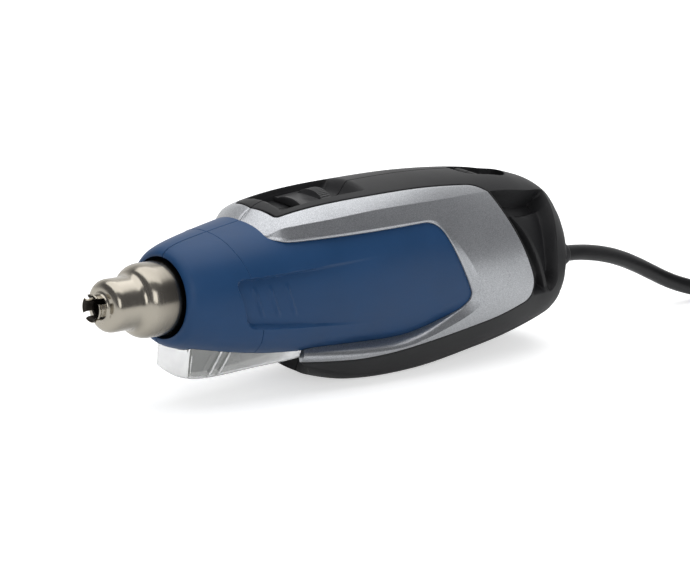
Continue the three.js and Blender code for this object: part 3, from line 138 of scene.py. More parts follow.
floor_mesh = bmesh.new()
bmesh.ops.create_grid(floor_mesh, x_segments=1, y_segments=1, size=6)
floor_data = bpy.data.meshes.new("studio_floor")
floor_mesh.to_mesh(floor_data)
floor_mesh.free()
floor = bpy.data.objects.new("studio_floor", floor_data)
scene.collection.objects.link(floor)
paper = bpy.data.materials.new("floor_paper")
paper.use_nodes = True
tree = paper.node_tree
tree.nodes.clear()
matt = node(tree, "BsdfDiffuse")
matt.inputs["Color"].default_value = (0.8, 0.8, 0.8, 1)
glow = node(tree, "Emission")
path, direct = sight(tree)
lift = node(tree, "Math")
lift.operation = "MULTIPLY"
lift.inputs[1].default_value = FLOOR_GLOW
tree.links.new(direct.outputs[0], lift.inputs[0])
sheen = node(tree, "Math")
sheen.operation = "MULTIPLY_ADD"
sheen.inputs[1].default_value = FLOOR_SHEEN
tree.links.new(path.outputs["Is Glossy Ray"], sheen.inputs[0])
tree.links.new(lift.outputs[0], sheen.inputs[2])
tree.links.new(sheen.outputs[0], glow.inputs["Strength"])
both = node(tree, "AddShader")
tree.links.new(matt.outputs[0], both.inputs[0])
tree.links.new(glow.outputs[0], both.inputs[1])
paper_out = node(tree, "OutputMaterial")
tree.links.new(both.outputs[0], paper_out.inputs["Surface"])
floor_data.materials.append(paper)

# Body shells: two blue glass-filled nylon mouldings that meet along the back and belly in one
# parting line. They carry every inner piece, leave a round mouth for the steel outlet, and have a
# shallow ribbed recess on each side where the fingers hold the tool.
BODY_LENGTH = 194
CROWN_HEIGHT = 34.5
KEEL_DEPTH = 39.7
HALF_BREADTH = 29
NOSE_RADIUS = 16.3
MIDDLE = 90.9
PARTING_GAP = 0.1
SHELL_WALL = 1.1
CARCASS_ROWS = [
    (0, 0, 0, 0),
    (0.03, 0.15, 0.14, 0.2),
    (0.075, 0.28, 0.27, 0.42),
    (0.16, 0.47, 0.48, 0.72),
    (0.29, 0.73, 0.72, 0.91),
    (0.44, 0.95, 0.91, 1),
    (0.56, 1, 1, 1),
    (0.68, 0.95, 0.97, 0.98),
    (0.78, 0.79, 0.91, 0.58),
    (0.86, 0.53, 0.72, 0.26),
    (0.965, -0.15, 0.2, -0.3),
]


def in_frame(x, y, z):
    """Casing millimetres, from the nose along the air axis, to the frame's metres."""
    return Vector(((x - MIDDLE) / 1000, y / 1000, (z + KEEL_DEPTH) / 1000))


def smooth_line(points):
    """A smooth line through (place, value) points, level beyond both ends."""
    xs, values = zip(*points)
    last = len(points) - 1

    def slope(i):
        a, b = max(i - 1, 0), min(i + 1, last)
        return (values[b] - values[a]) / (xs[b] - xs[a])

    slopes = [slope(i) for i in range(last + 1)]

    def line(x):
        i = 0
        while i < last - 1 and x > xs[i + 1]:
            i += 1
        span = xs[i + 1] - xs[i]
        u = min(max((x - xs[i]) / span, 0), 1)
        v = 1 - u
        rise = values[i] * (1 + 2 * u) * v * v + values[i + 1] * (3 - 2 * u) * u * u
        return rise + (slopes[i] * v - slopes[i + 1] * u) * span * u * v

    return line


def faired(rows, column, size):
    """A smooth line through one column of a table of sections."""
    return smooth_line([(row[0] * BODY_LENGTH, row[column] * size) for row in rows])


CARCASS_RISE, CARCASS_FALL, CARCASS_SWELL = 15.4, 15.3, 9.9
carcass_top = faired(CARCASS_ROWS, 1, CARCASS_RISE)
carcass_bottom = faired(CARCASS_ROWS, 2, CARCASS_FALL)
carcass_side = faired(CARCASS_ROWS, 3, CARCASS_SWELL)


def soft_step(value, low, high):
    u = min(max((value - low) / (high - low), 0), 1)
    return u * u * (3 - 2 * u)


def carcass_size(x):
    fullness = 2 + 0.3 * min(1, x / (BODY_LENGTH / 5))
    side = NOSE_RADIUS + carcass_side(x)
    return side, NOSE_RADIUS + carcass_top(x), NOSE_RADIUS + carcass_bottom(x), fullness


def inside_outline(x, z, corners, fillet):
    """How far a point lies inside a convex outline with rounded corners, up to the fillet."""
    short = 0
    for (ax, az), (bx, bz) in zip(corners, corners[1:] + corners[:1]):
        length = math.hypot(bx - ax, bz - az)
        depth = ((z - az) * (bx - ax) - (x - ax) * (bz - az)) / -length
        short += max(fillet - depth, 0) ** 2
    return fillet - math.sqrt(short)


FINGER_RECESS = [(17.2, 9.2), (92, 12.6), (92, -14.2), (24.1, -9.2)]
RECESS_FILLET = 3.4
RECESS_DEPTH = 2.1
RECESS_WALL = 0.8
RECESS_FADE = (26, 84)
RIB_PLACES = (27.6, 34.2, 41.3)
RIB_LEAN, RIB_BOW = -0.42, 0.012
RIB_HEIGHT = 0.6
RIB_WIDTH = 0.9
RIB_REACH, RIB_RUNOUT = 6.8, 3
LIP_LENGTH = 3.4
LIP_FALL = 2
RING_LINE = 27.1
RING_LEAN = 0.34
RING_DEPTH = 0.3
RING_RISE = 0.12
LEAN_STARTS, LEAN_ENDS = (2, 17), (34, 76)
PARTING_FALL, PARTING_ROUND = 0.25, 0.35
PANEL_SINK = 0.8
PANEL_SINK_TOP, PANEL_SINK_BAND = 7, 6
PANEL_SINK_STARTS, PANEL_SINK_ENDS = (50, 60), (116, 130)
panel_foot = smooth_line([(48, -24.2), (80, -24.8), (104.3, -25.2), (116, -20), (127, -14.6)])


def foot_sink(x, z):
    """How far the side panel lies back along its lower edge."""
    along = soft_step(x, *PANEL_SINK_STARTS) * (1 - soft_step(x, *PANEL_SINK_ENDS))
    return PANEL_SINK * along * soft_step(panel_foot(x) + PANEL_SINK_TOP - z, 0, PANEL_SINK_BAND)


def shell_sink(x, z, station):
    """How far the finger recess, the ring line and the panel's foot lie below the shell's plain form."""
    depth = inside_outline(x, z, FINGER_RECESS, RECESS_FILLET)
    fade = 1 - soft_step(x, *RECESS_FADE)
    sunk = RECESS_DEPTH * fade * soft_step(depth, 0, RECESS_WALL) + foot_sink(x, z)
    for rib in RIB_PLACES:
        middle = rib + RIB_LEAN * z + RIB_BOW * z * z
        swell = max(0, 1 - ((x - middle) / RIB_WIDTH) ** 2)
        sunk -= RIB_HEIGHT * swell * soft_step(RIB_REACH - abs(z), 0, RIB_RUNOUT)
    if abs(station - RING_LINE) < 0.05 and depth < 0:
        sunk += RING_DEPTH if z < 0 else -RING_RISE
    return sunk


def shell_stations():
    near = [0.45 * k for k in range(58)]
    ring = [RING_LINE - 0.35, RING_LINE - 0.12, RING_LINE, RING_LINE + 0.12, RING_LINE + 0.35]
    grip = [28 + 0.5 * k for k in range(95)]
    panel = [76 + 1.6 * k for k in range(39)] + [90.8 + 0.4 * k for k in range(17)]
    tail = [142 + 4.1 * k for k in range(12)] + [173.2 + 0.5 * k for k in range(16)]
    rim = [0.015, 0.06, 0.14, 0.26, 0.65, 1.1]
    return sorted([*near, *ring, *rim, *grip, *panel, *tail])


def shell_turns():
    """Angles round the shell from the back to the belly, closer at the recess's edges."""
    turns, turn = [0, 0.12, 0.35, 0.7], 1.2
    while turn < 179.2:
        turns.append(turn)
        turn += 0.7 if 55 < turn < 76 or 102 < turn < 127 else 1.9
    return [math.radians(t) for t in [*turns, 179.3, 179.65, 179.88, 180]]


def shell_point(station, turn):
    """A point of the left shell's plain form; stations lean with the ring line near the grip."""
    lean = RING_LEAN * soft_step(station, *LEAN_STARTS) * (1 - soft_step(station, *LEAN_ENDS))
    x, z = station, 0
    for _ in range(4):
        x = max(station - lean * z, 0)
        side, top, bottom, fullness = carcass_size(x)
        s, c = math.sin(turn), math.cos(turn)
        z = (top if c > 0 else bottom) * math.copysign(abs(c) ** (2 / fullness), c)
    return x, -side * abs(s) ** (2 / fullness), z


def in_casing(spot):
    """The frame's metres back to casing millimetres."""
    return spot.x * 1000 + MIDDLE, spot.y * 1000, spot.z * 1000 - KEEL_DEPTH


# Openings below the grip, in the back as (first x, last x, half width), in the tail as (lowest place,
# highest place, front, place where the front begins to slant, slant).
BACK_OPENINGS = [(43, 88, 10.8), (135, 171, 8.5)]
BACK_LEAST = 15
TAIL_OPENING = (-14, 27, 148, 26, 0.47)


def under_cover(x, y, z):
    """Whether a point lies in an opening: the switch's, the hanging eye's or an intake's."""
    for start, end, half in BACK_OPENINGS:
        if z > BACK_LEAST and start < x < end and y > -half:
            return True
    low, high, front, knee, slant = TAIL_OPENING
    return low < z < high and x > front + max(0, (knee - z) * slant)


def new_grid(columns, rows):
    """A flat grid of points, row after row, that is then laid on a form."""
    grid = bmesh.new()
    bmesh.ops.create_grid(grid, x_segments=columns - 1, y_segments=rows - 1, size=1)
    grid.verts.ensure_lookup_table()
    return grid


def build_left_shell():
    stations, turns = shell_stations(), shell_turns()
    shell = new_grid(len(stations), len(turns))
    plain = {}
    for row, turn in enumerate(turns):
        for column, station in enumerate(stations):
            vertex = shell.verts[row * len(stations) + column]
            plain[vertex] = (station, turn, shell_point(station, turn))
            x, y, z = plain[vertex][2]
            vertex.co = in_frame(x, y - PARTING_GAP, z)
    shell.normal_update()
    outward = {v: v.normal * (1 if v.normal.dot(v.co - in_frame(plain[v][2][0], 0, 0)) > 0 else -1)
               for v in shell.verts}
    for vertex, (station, turn, (x, y, z)) in plain.items():
        sunk = shell_sink(x, z, station)
        roll = max(0, 1 - station / LIP_LENGTH)
        sunk += LIP_FALL * (1 - math.sqrt(1 - roll * roll))
        sunk += PARTING_FALL * max(0, 1 - abs(y) / PARTING_ROUND) ** 2
        vertex.co -= outward[vertex] * sunk / 1000
    hidden = [face for face in shell.faces if under_cover(*in_casing(face.calc_center_median()))]
    bmesh.ops.delete(shell, geom=hidden, context="FACES")
    return shell


# Screw wells in the right shell: places on the side, the well's radius and the depth of its seat.
SCREW_PLACES = [(50, -18.8), (94, -21.6), (177, -18.5)]
WELL_RADIUS = 2.8
WELL_FLOOR = 7
WELL_BORE = 1.6


def open_well(mesh, x, z, side):
    """Cuts a round hole for a screw out of a skin and returns the edges of its rim."""
    def off(spot):
        return Vector((spot.x - in_frame(x, 0, z).x, spot.z - in_frame(x, 0, z).z)) * 1000

    inside = [face for face in mesh.faces if face.calc_center_median().y * side > 0
              and off(face.calc_center_median()).length < WELL_RADIUS]
    touched = {edge for face in inside for edge in face.edges}
    bmesh.ops.delete(mesh, geom=inside, context="FACES")
    rim = [edge for edge in touched if edge.is_valid and edge.is_boundary]
    for vertex in {v for edge in rim for v in edge.verts}:
        pull = off(vertex.co)
        pull *= WELL_RADIUS / pull.length - 1
        vertex.co += Vector((pull.x, 0, pull.y)) / 1000
    return rim


def draw_ring(mesh, rim, middle, radius):
    """Draws a hole's rim down to a ring round a place and returns the ring's edges."""
    made = bmesh.ops.extrude_edge_only(mesh, edges=list(rim))["geom"]
    for vertex in [part for part in made if isinstance(part, bmesh.types.BMVert)]:
        out = (vertex.co - middle) * Vector((1, 0, 1))
        vertex.co = middle + out * radius / (out.length * 1000)
    return [part for part in made if isinstance(part, bmesh.types.BMEdge)]


def sink_well(mesh, x, z):
    """A well in the right shell: a round wall down to a seat with a bore for the screw."""
    rim = open_well(mesh, x, z, 1)
    for radius in (WELL_RADIUS, WELL_BORE):
        rim = draw_ring(mesh, rim, in_frame(x, WELL_FLOOR, z), radius)


def double_skin(mesh):
    """Copies a skin for its inner side; returns the copy of each point and the open edges."""
    rim = [edge for edge in mesh.edges if edge.is_boundary]
    return bmesh.ops.duplicate(mesh, geom=mesh.faces[:])["vert_map"], rim


def join_skins(mesh, rim, twin):
    for edge in rim:
        start, end = edge.verts
        mesh.faces.new((start, end, twin[end], twin[start]))


def thicken(mesh, wall):
    """Gives a skin a wall of even thickness on its inner side."""
    mesh.normal_update()
    outside = mesh.verts[:]
    twin, rim = double_skin(mesh)
    for vertex in outside:
        twin[vertex].co = vertex.co - vertex.normal * wall / 1000
    join_skins(mesh, rim, twin)


def set_piece(name, mesh, material, nodes, body="tool", sharp=40):
    """Turns a finished bmesh into a piece of the tool that stands for its CAD solids."""
    bmesh.ops.remove_doubles(mesh, verts=mesh.verts[:], dist=1e-6)
    bmesh.ops.recalc_face_normals(mesh, faces=mesh.faces[:])
    data = bpy.data.meshes.new(name)
    mesh.to_mesh(data)
    mesh.free()
    data.shade_smooth()
    data.set_sharp_from_angle(angle=math.radians(sharp))
    data.materials.append(material)
    piece = bpy.data.objects.new(name, data)
    scene.collection.objects.link(piece)
    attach(piece, body)
    if nodes:
        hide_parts(*nodes)
    return piece


def mirrored(mesh):
    twin = mesh.copy()
    bmesh.ops.scale(twin, vec=(1, -1, 1), verts=twin.verts[:])
    bmesh.ops.reverse_faces(twin, faces=twin.faces[:])
    return twin


def speckle(tree, scale, detail):
    """Fine even noise on the piece's own coordinates."""
    place = node(tree, "TexCoord")
    noise = node(tree, "TexNoise")
    noise.inputs["Scale"].default_value = scale
    noise.inputs["Detail"].default_value = detail
    tree.links.new(place.outputs["Object"], noise.inputs["Vector"])
    return noise


def grain_bump(tree, shader, source, strength, distance):
    bump = node(tree, "Bump")
    bump.inputs["Strength"].default_value = strength
    bump.inputs["Distance"].default_value = distance
    tree.links.new(source, bump.inputs["Height"])
    tree.links.new(bump.outputs["Normal"], shader.inputs["Normal"])


def new_finish(name):
    finish = bpy.data.materials.new(name)
    finish.use_nodes = True
    tree = finish.node_tree
    return finish, tree, tree.nodes["Principled BSDF"]


def mottled(name, spots, dark, light, rough, grain=None, bump=(0.1, 0.0001), sockets=None):
    """A finish whose colour and roughness vary in spots, given as (scale, detail). The grain, or else
    the spots, are raised by the bump's strength and height; other sockets are set by name."""
    finish, tree, shader = new_finish(name)
    cloud = speckle(tree, *spots)
    ramp(tree, cloud.outputs["Fac"], shader.inputs["Base Color"], dark, light)
    ramp(tree, cloud.outputs["Fac"], shader.inputs["Roughness"], *[(level,) * 3 for level in rough])
    if bump:
        raised = speckle(tree, *grain) if grain else cloud
        grain_bump(tree, shader, raised.outputs["Fac"], *bump)
    for socket, value in (sockets or {}).items():
        shader.inputs[socket].default_value = value
    return finish


body_blue = mottled("body_blue_nylon", (38, 3), (0.0065, 0.043, 0.123), (0.009, 0.052, 0.146), (0.4, 0.5),
                    grain=(2600, 3), bump=(0.12, 0.0001), sockets={"Specular IOR Level": 0.3})

left_shell = build_left_shell()
bmesh.ops.recalc_face_normals(left_shell, faces=left_shell.faces[:])
right_shell = mirrored(left_shell)
for screw_x, screw_z in SCREW_PLACES:
    sink_well(right_shell, screw_x, screw_z)
for skin in (left_shell, right_shell):
    thicken(skin, SHELL_WALL)
set_piece("left_shell", left_shell, body_blue, ["left_body_shell"])
set_piece("right_shell", right_shell, body_blue, ["right_body_shell"])

# Trim frames: silver-lacquered ABS mouldings, one a side, that lie on the shells and frame the blue
# side panel. They start in a slope over the nose, have a crease along the upper rail, a bevel round
# the panel that is widest at the rear, and clip into the shells from the inside.
TRIM_GAP = 0.25
TRIM_EDGE = 0.4
OUTER_ROWS = [
    (0.13, 0.496, 0.36, 0.426, 0.44, 0.357, 0.78, 0, 0.42, -0.5, -0.56),
    (0.175, 0.684, 0.455, 0.58, 0.52, 0.486, 0.86, 0, 0.45, -0.57, -0.6),
    (0.206, 0.823, 0.535, 0.689, 0.6, 0.58, 0.91, 0, 0.47, -0.6, -0.63),
    (0.235, 0.877, 0.58, 0.719, 0.65, 0.605, 0.93, 0, 0.48, -0.63, -0.67),
    (0.32, 0.942, 0.64, 0.756, 0.715, 0.634, 0.975, 0, 0.52, -0.76, -0.865),
    (0.433, 0.976, 0.652, 0.794, 0.765, 0.654, 1, 0, 0.55, -0.9, -1),
    (0.6, 1, 0.625, 0.803, 0.765, 0.644, 0.997, -0.05, 0.55, -0.927, -1.022),
    (0.77, 0.95, 0.51, 0.788, 0.73, 0.61, 0.945, -0.109, 0.525, -0.833, -0.943),
    (0.88, 0.851, 0.4, 0.713, 0.745, 0.54, 0.863, -0.14, 0.49, -0.753, -0.863),
    (0.965, 0.66, 0.262, 0.615, 0.58, 0.43, 0.768, -0.2, 0.555, -0.603, -0.718),
    (1, 0.361, 0.15, 0.342, 0.46, 0.285, 0.515, -0.19, 0.425, -0.57, -0.67),
]
OUTER_SIZES = (CROWN_HEIGHT, HALF_BREADTH, CROWN_HEIGHT, HALF_BREADTH, CROWN_HEIGHT, HALF_BREADTH,
               CROWN_HEIGHT, HALF_BREADTH, KEEL_DEPTH, KEEL_DEPTH + 0.6)
outer_lines = [faired(OUTER_ROWS, k + 1, size) for k, size in enumerate(OUTER_SIZES)]
TAIL_CAP = 17
TAIL_BULGE = 0.7


@lru_cache(maxsize=None)
def outer_arcs(x):
    """The four arcs of the outer form's half section, from the crown over the crease, the widest
    place and the chine to the keel, each as the four points that draw it."""
    (crown, crease_y, crease_z, shoulder_y, shoulder_z, wide_y, wide_z, chine_y, chine_z,
     keel) = [line(x) for line in outer_lines]

    def arc(start, bend, end):
        pull = [(bend[k] * 2 + start[k]) / 3 for k in (0, 1)]
        push = [(bend[k] * 2 + end[k]) / 3 for k in (0, 1)]
        return start, pull, push, end

    crease, wide, chine = (crease_y, crease_z), (wide_y, wide_z), (chine_y, chine_z)
    return (
        arc((0, crown), (0.55 * crease_y, crown), crease),
        (crease, (shoulder_y, shoulder_z), (wide_y, (shoulder_z + wide_z) / 2), wide),
        arc(wide, (wide_y, wide_z + 0.6 * (chine_z - wide_z)), chine),
        arc(chine, (0.8 * chine_y, keel), (0, keel)),
    )


def outer_point(x, girth):
    """A point of the left side of the outer form. Girth runs from 0 on the crown, over 1 on the
    crease, to 4 on the keel; x beyond the tail runs in over the flat rear end."""
    quarter = min(int(girth), 3)
    u = girth - quarter
    v = 1 - u
    shares = (v * v * v, 3 * u * v * v, 3 * u * u * v, u * u * u)
    arc = outer_arcs(min(x, BODY_LENGTH))[quarter]
    y = sum(share * spot[0] for share, spot in zip(shares, arc))
    z = sum(share * spot[1] for share, spot in zip(shares, arc))
    over = min(max((x - BODY_LENGTH) / TAIL_CAP, 0), 1)
    bulge = TAIL_BULGE * (1 - (1 - over) ** 4)
    return min(x, BODY_LENGTH) + bulge, -y * (1 - over), max(z, -KEEL_DEPTH)


def girth_at(x, goal, axis):
    """The girth where the outer form has a given height (axis 2) or width (axis 1)."""
    low, high = (0, 4) if axis == 2 else (0, 2)
    wanted = goal if axis == 2 else -abs(goal)
    for _ in range(36):
        middle = (low + high) / 2
        if outer_point(x, middle)[axis] > wanted:
            low = middle
        else:
            high = middle
    return (low + high) / 2


def rounded(corners):
    """Points about half a millimetre apart along a line whose corners are (a, b, fillet)."""
    line = []
    for k, (a, b, *fillet) in enumerate(corners):
        corner = Vector((a, b))
        if k in (0, len(corners) - 1) or not fillet:
            line.append(corner)
            continue
        before = Vector(corners[k - 1][:2]) - corner
        after = Vector(corners[k + 1][:2]) - corner
        reach = min(fillet[0], before.length / 2, after.length / 2)
        start, end = corner + before.normalized() * reach, corner + after.normalized() * reach
        for step in range(9):
            u = step / 8
            line.append(start * (1 - u) ** 2 + corner * 2 * u * (1 - u) + end * u * u)
    points = []
    for start, end in zip(line, line[1:]):
        steps = max(1, round((end - start).length / 0.5))
        points += [start.lerp(end, step / steps) for step in range(steps)]
    return points + [line[-1]]


GIRTH_SPAN = 20


def stepped(line, knots, counts):
    """Spreads stations along a line of (x, girth) points, a given count between each two knots."""
    far = [0]
    for (ax, at), (bx, bt) in zip(line, line[1:]):
        far.append(far[-1] + math.hypot(bx - ax, GIRTH_SPAN * (bt - at)))
    stops = []
    for x, girth in knots:
        gaps = [math.hypot(px - x, GIRTH_SPAN * (pt - girth)) for px, pt in line]
        stops.append(far[gaps.index(min(gaps))])
    wanted = [stops[0]]
    for start, end, count in zip(stops, stops[1:], counts):
        wanted += [start + (end - start) * (k + 1) / count for k in range(count)]
    stations, i = [], 0
    for goal in wanted:
        while i < len(far) - 2 and far[i + 1] < goal:
            i += 1
        u = min(max((goal - far[i]) / max(far[i + 1] - far[i], 1e-9), 0), 1)
        (ax, at), (bx, bt) = line[i], line[i + 1]
        stations.append((ax + (bx - ax) * u, at + (bt - at) * u))
    return stations


def side_line(corners):
    return [(x, girth_at(x, z, 2)) for x, z in rounded(corners)]


def plan_line(corners):
    return [(x, girth_at(x, y, 1)) for x, y in rounded(corners)]


def knot(x, z):
    return x, girth_at(x, z, 2)


def grip_edge(gap):
    """Where the trim ends and the grip begins: along the back, round the tail and under the side."""
    meet_x = 145.6 - gap
    _, meet_y, meet_z = outer_point(meet_x, 1)
    top = plan_line([(39.6 - gap, 0), (41.4 - gap, 11.2 + gap, 2.2), (72, 12.5 + gap, 20),
                     (139.5 - gap, 12.5 + gap, 6), (meet_x, -meet_y)])
    side = side_line([(meet_x, meet_z), (166.6 - gap, -7.75, 14), (166.6 - gap, -15.5 + gap, 4),
                      (149.3, -20.15 + gap, 6), (88, -28.6 + gap, 30), (55, -27.4 + gap)])
    return top + side[1:]


panel_edge = [(32.9, 0)] + side_line(
    [(32.9, 22.4), (33.5, 21.8), (34.3, 21.2), (36, 20.6, 1.5), (40.4, 20, 4), (112.3, 21.4, 7),
     (132, -10, 7), (127, -14.6, 5), (104.3, -25.2, 14), (55, -24.4)])
STATION_COUNTS = (22, 80, 56, 46, 54)
panel_side = stepped(panel_edge, [panel_edge[0], knot(40.6, 20.3), knot(110.5, 20), knot(130.2, -11),
                                  knot(104.3, -25), knot(55, -24.4)], STATION_COUNTS)
trim_border = grip_edge(TRIM_GAP)
grip_side = stepped(trim_border, [trim_border[0], (41.6, girth_at(41.6, 10.6, 1)), (145.3, 1),
                                  knot(165.5, -14.5), knot(112, -25), trim_border[-1]], STATION_COUNTS)

# Bevel round the panel: how wide it is at each of the six matched places, how steeply it falls, and the
# radius of the edge next to the panel.
BEVEL_WIDTHS = (0.7, 0.8, 1.6, 5.6, 2.9, 2.2)
BEVEL_FALLS = (0.42, 0.42, 0.42, 0.42, 0.45, 0.45)
PANEL_ROUNDS = (0.4, 0.4, 0.4, 0.7, 1.6, 1.5)
ROUND_STEPS = (0, 0.04, 0.12, 0.25, 0.45, 0.7, 1)
TRIM_LEAST = 0.3
SIDE_LINES, TOP_LINES = 11, 8
TRIM_PARTING = 0.25


def between(values, counts, station):
    for k, count in enumerate(counts):
        if station <= count:
            u = station / count
            return values[k] + (values[k + 1] - values[k]) * u * u * (3 - 2 * u)
        station -= count
    return values[-1]


def edge_round(distance, radius):
    """Fall of a rounded edge at a distance from it."""
    if distance >= radius:
        return 0
    return radius - math.sqrt(max(radius * radius - (radius - distance) ** 2, 0))


def carcass_reach(point, inward):
    """How far inwards from a point the blue carcass lies, in millimetres."""
    low, high = 0.3, 9
    for _ in range(18):
        middle = (low + high) / 2
        x, y, z = point + inward * middle
        side, top, bottom, fullness = carcass_size(max(x, 0.01))
        height = top if z > 0 else bottom
        if (abs(y) / side) ** fullness + (abs(z) / height) ** fullness > 1:
            low = middle
        else:
            high = middle
    return low


def face_left(mesh):
    """Turns the faces of a left skin outwards."""
    bmesh.ops.recalc_face_normals(mesh, faces=mesh.faces[:])
    mesh.normal_update()
    if sum(v.normal.y for v in mesh.verts) > 0:
        bmesh.ops.reverse_faces(mesh, faces=mesh.faces[:])
        mesh.normal_update()


def build_left_trim():
    stations = len(panel_side)
    lines = len(ROUND_STEPS) + SIDE_LINES + TOP_LINES + 8
    trim = new_grid(stations, lines)
    fall = {}
    spots = {}
    for i, ((ax, at), (bx, bt)) in enumerate(zip(panel_side, grip_side)):
        a, b = Vector(outer_point(ax, at)), Vector(outer_point(bx, bt))
        middle = Vector(outer_point((ax + bx) / 2, (at + bt) / 2))
        width = (middle - a).length + (b - middle).length
        edge = min(TRIM_EDGE, 0.16 * width)
        hold = min(0.28, 0.05 * width)
        turn = min(between(PANEL_ROUNDS, STATION_COUNTS, i), 0.35 * width)
        bevel = max(min(between(BEVEL_WIDTHS, STATION_COUNTS, i), 0.42 * width), turn + 2 * hold)
        far = width - edge
        crease = width * (1 - at) / (bt - at) if bt < 1 else far
        crease = min(max(crease, bevel + 4 * hold), far - 2 * hold)
        places = [share * turn for share in ROUND_STEPS] + [bevel - hold, bevel, bevel + hold]
        span = crease - hold - places[-1]
        places += [places[-1] + span * k / SIDE_LINES for k in range(1, SIDE_LINES + 1)]
        places += [crease, crease + hold]
        span = far - places[-1]
        places += [places[-1] + span * k / TOP_LINES for k in range(1, TOP_LINES + 1)]
        places += [far + 0.55 * edge, far + 0.85 * edge, width]
        shares = [place / width for place in places]
        for j, share in enumerate(shares):
            vertex = trim.verts[j * stations + i]
            x, y, z = outer_point(ax + (bx - ax) * share, at + (bt - at) * share)
            spots[vertex] = Vector((x, y - PARTING_GAP, z))
            vertex.co = in_frame(*spots[vertex])
            near, off = share * width, (1 - share) * width
            drop = between(BEVEL_FALLS, STATION_COUNTS, i) * max(0, bevel - near)
            drop += edge_round(near, turn) + edge_round(off, edge)
            drop += edge_round(abs(y), TRIM_PARTING) if i < 3 else 0
            fall[vertex] = drop
    face_left(trim)
    inward = {v: -v.normal.copy() for v in trim.verts}
    depth = {}
    for vertex, spot in spots.items():
        depth[vertex] = carcass_reach(spot, inward[vertex]) + foot_sink(spot.x, spot.z) - TRIM_GAP
    for i in range(stations):
        column = [trim.verts[j * stations + i] for j in range(lines)]
        room = max(depth[column[0]] - TRIM_LEAST, TRIM_LEAST) / fall[column[0]]
        for vertex in column:
            fall[vertex] *= min(room, 1)
    under, rims = double_skin(trim)
    for vertex, spot in spots.items():
        vertex.co += inward[vertex] * fall[vertex] / 1000
        wall = max(depth[vertex], fall[vertex] + TRIM_EDGE)
        under[vertex].co = in_frame(*(spot + inward[vertex] * wall))
    join_skins(trim, rims, under)
    return trim


trim_silver, tree, shader = new_finish("trim_silver_lacquer")
flakes = speckle(tree, 3400, 1)
flow = speckle(tree, 55, 2)
ramp(tree, flakes.outputs["Fac"], shader.inputs["Base Color"], (0.3, 0.31, 0.325), (0.5, 0.51, 0.53),
     (0.35, 0.68))
ramp(tree, flow.outputs["Fac"], shader.inputs["Roughness"], (0.3, 0.3, 0.3), (0.37, 0.37, 0.37))
shader.inputs["Metallic"].default_value = 0.85
shader.inputs["Coat Weight"].default_value = 0.25
shader.inputs["Coat Roughness"].default_value = 0.2
grain_bump(tree, shader, flakes.outputs["Fac"], 0.1, 0.00008)

left_trim = build_left_trim()
right_trim = mirrored(left_trim)
set_piece("left_trim", left_trim, trim_silver, ["left_trim_frame"], sharp=50)
set_piece("right_trim", right_trim, trim_silver, ["right_trim_frame"], sharp=50)

# Grip shells: soft-touch black covers over the back, the tail and the keel. The back holds the thumb
# trench of the slide switch and the well with the hanging bar, the tail the scooped air intakes
# under a visor edge, and the keel is the flat on which the tool lies.
GRIP_EDGE = 0.35
GRIP_WALL = 1.5
# Trench and eye as (front, rear, half width), the bar in the eye as (place, radius).
TRENCH = (44.8, 86, 9.6)
TRENCH_DEPTH = 5
TRENCH_RAMPS = (4.4, 5.2, 1.5)
EYE = (145.5, 160.5, 6.5)
EYE_DEPTH = 9
EYE_BAR = (150, 2.1)
EYE_BAR_DROP = 1.4
CORD_DROP = 8.5
BOOT_SEAT_RADIUS, BOOT_SEAT_DEPTH = 7.1, 2.2
crown_line = outer_lines[0]
FLOOR_ENDS = (49.8, 81)
STEM_SLOT = (65.4, 7.6, 2)
TRENCH_LAST, EYE_FIRST, EYE_LAST = 100, 135, 170


def trench_floor(x):
    low, high = [crown_line(end) - TRENCH_DEPTH for end in FLOOR_ENDS]
    return low + (high - low) * (x - FLOOR_ENDS[0]) / (FLOOR_ENDS[1] - FLOOR_ENDS[0])


def trench_share(x, y):
    """0 on the rim of the thumb trench and outside it, 1 on its floor."""
    front, rear, side = TRENCH_RAMPS
    ends = min((x - TRENCH[0]) / front, (TRENCH[1] - x) / rear)
    sides = (TRENCH[2] - abs(y)) / side
    reach = min(ends, sides)
    if reach <= 0:
        return 0
    joined = ends * sides / max(ends + sides, 1e-6) if max(ends, sides) < 1.6 else reach
    return soft_step(min(reach, joined * 1.7), 0, 1)


def eye_share(x, y):
    along = min(max(x, EYE[0]), EYE[1])
    return soft_step(EYE[2] - math.hypot(x - along, y), 0, 0.9)


# The intake's rib and rear edge in the side view, as (depth below the air axis, x).
intake_rib = smooth_line([(-26, 147), (-18.1, 155.3), (-11.6, 161.3), (-3.3, 166.8), (3.7, 171.1),
                          (13.6, 176.5), (17, 178)])
intake_rear = smooth_line([(-27, 184.5), (-19, 183.5), (-10, 181), (-3, 180), (4, 180.6), (9.7, 181.6),
                           (14, 180)])
INTAKE_FRONT = 146.6
INTAKE_FLOOR = -14.2
VISOR_FLOOR = 18.8
RIB_HALF = 1.1
RIB_FOOT = 2.1
REAR_WALL = 2.6
SCOOP_DEPTH, SCOOP_STEP, SCOOP_CUP = 3.0, 1.5, 1.2
VISOR_DEPTH = 2.2
CREST_DEPTH = 0.9


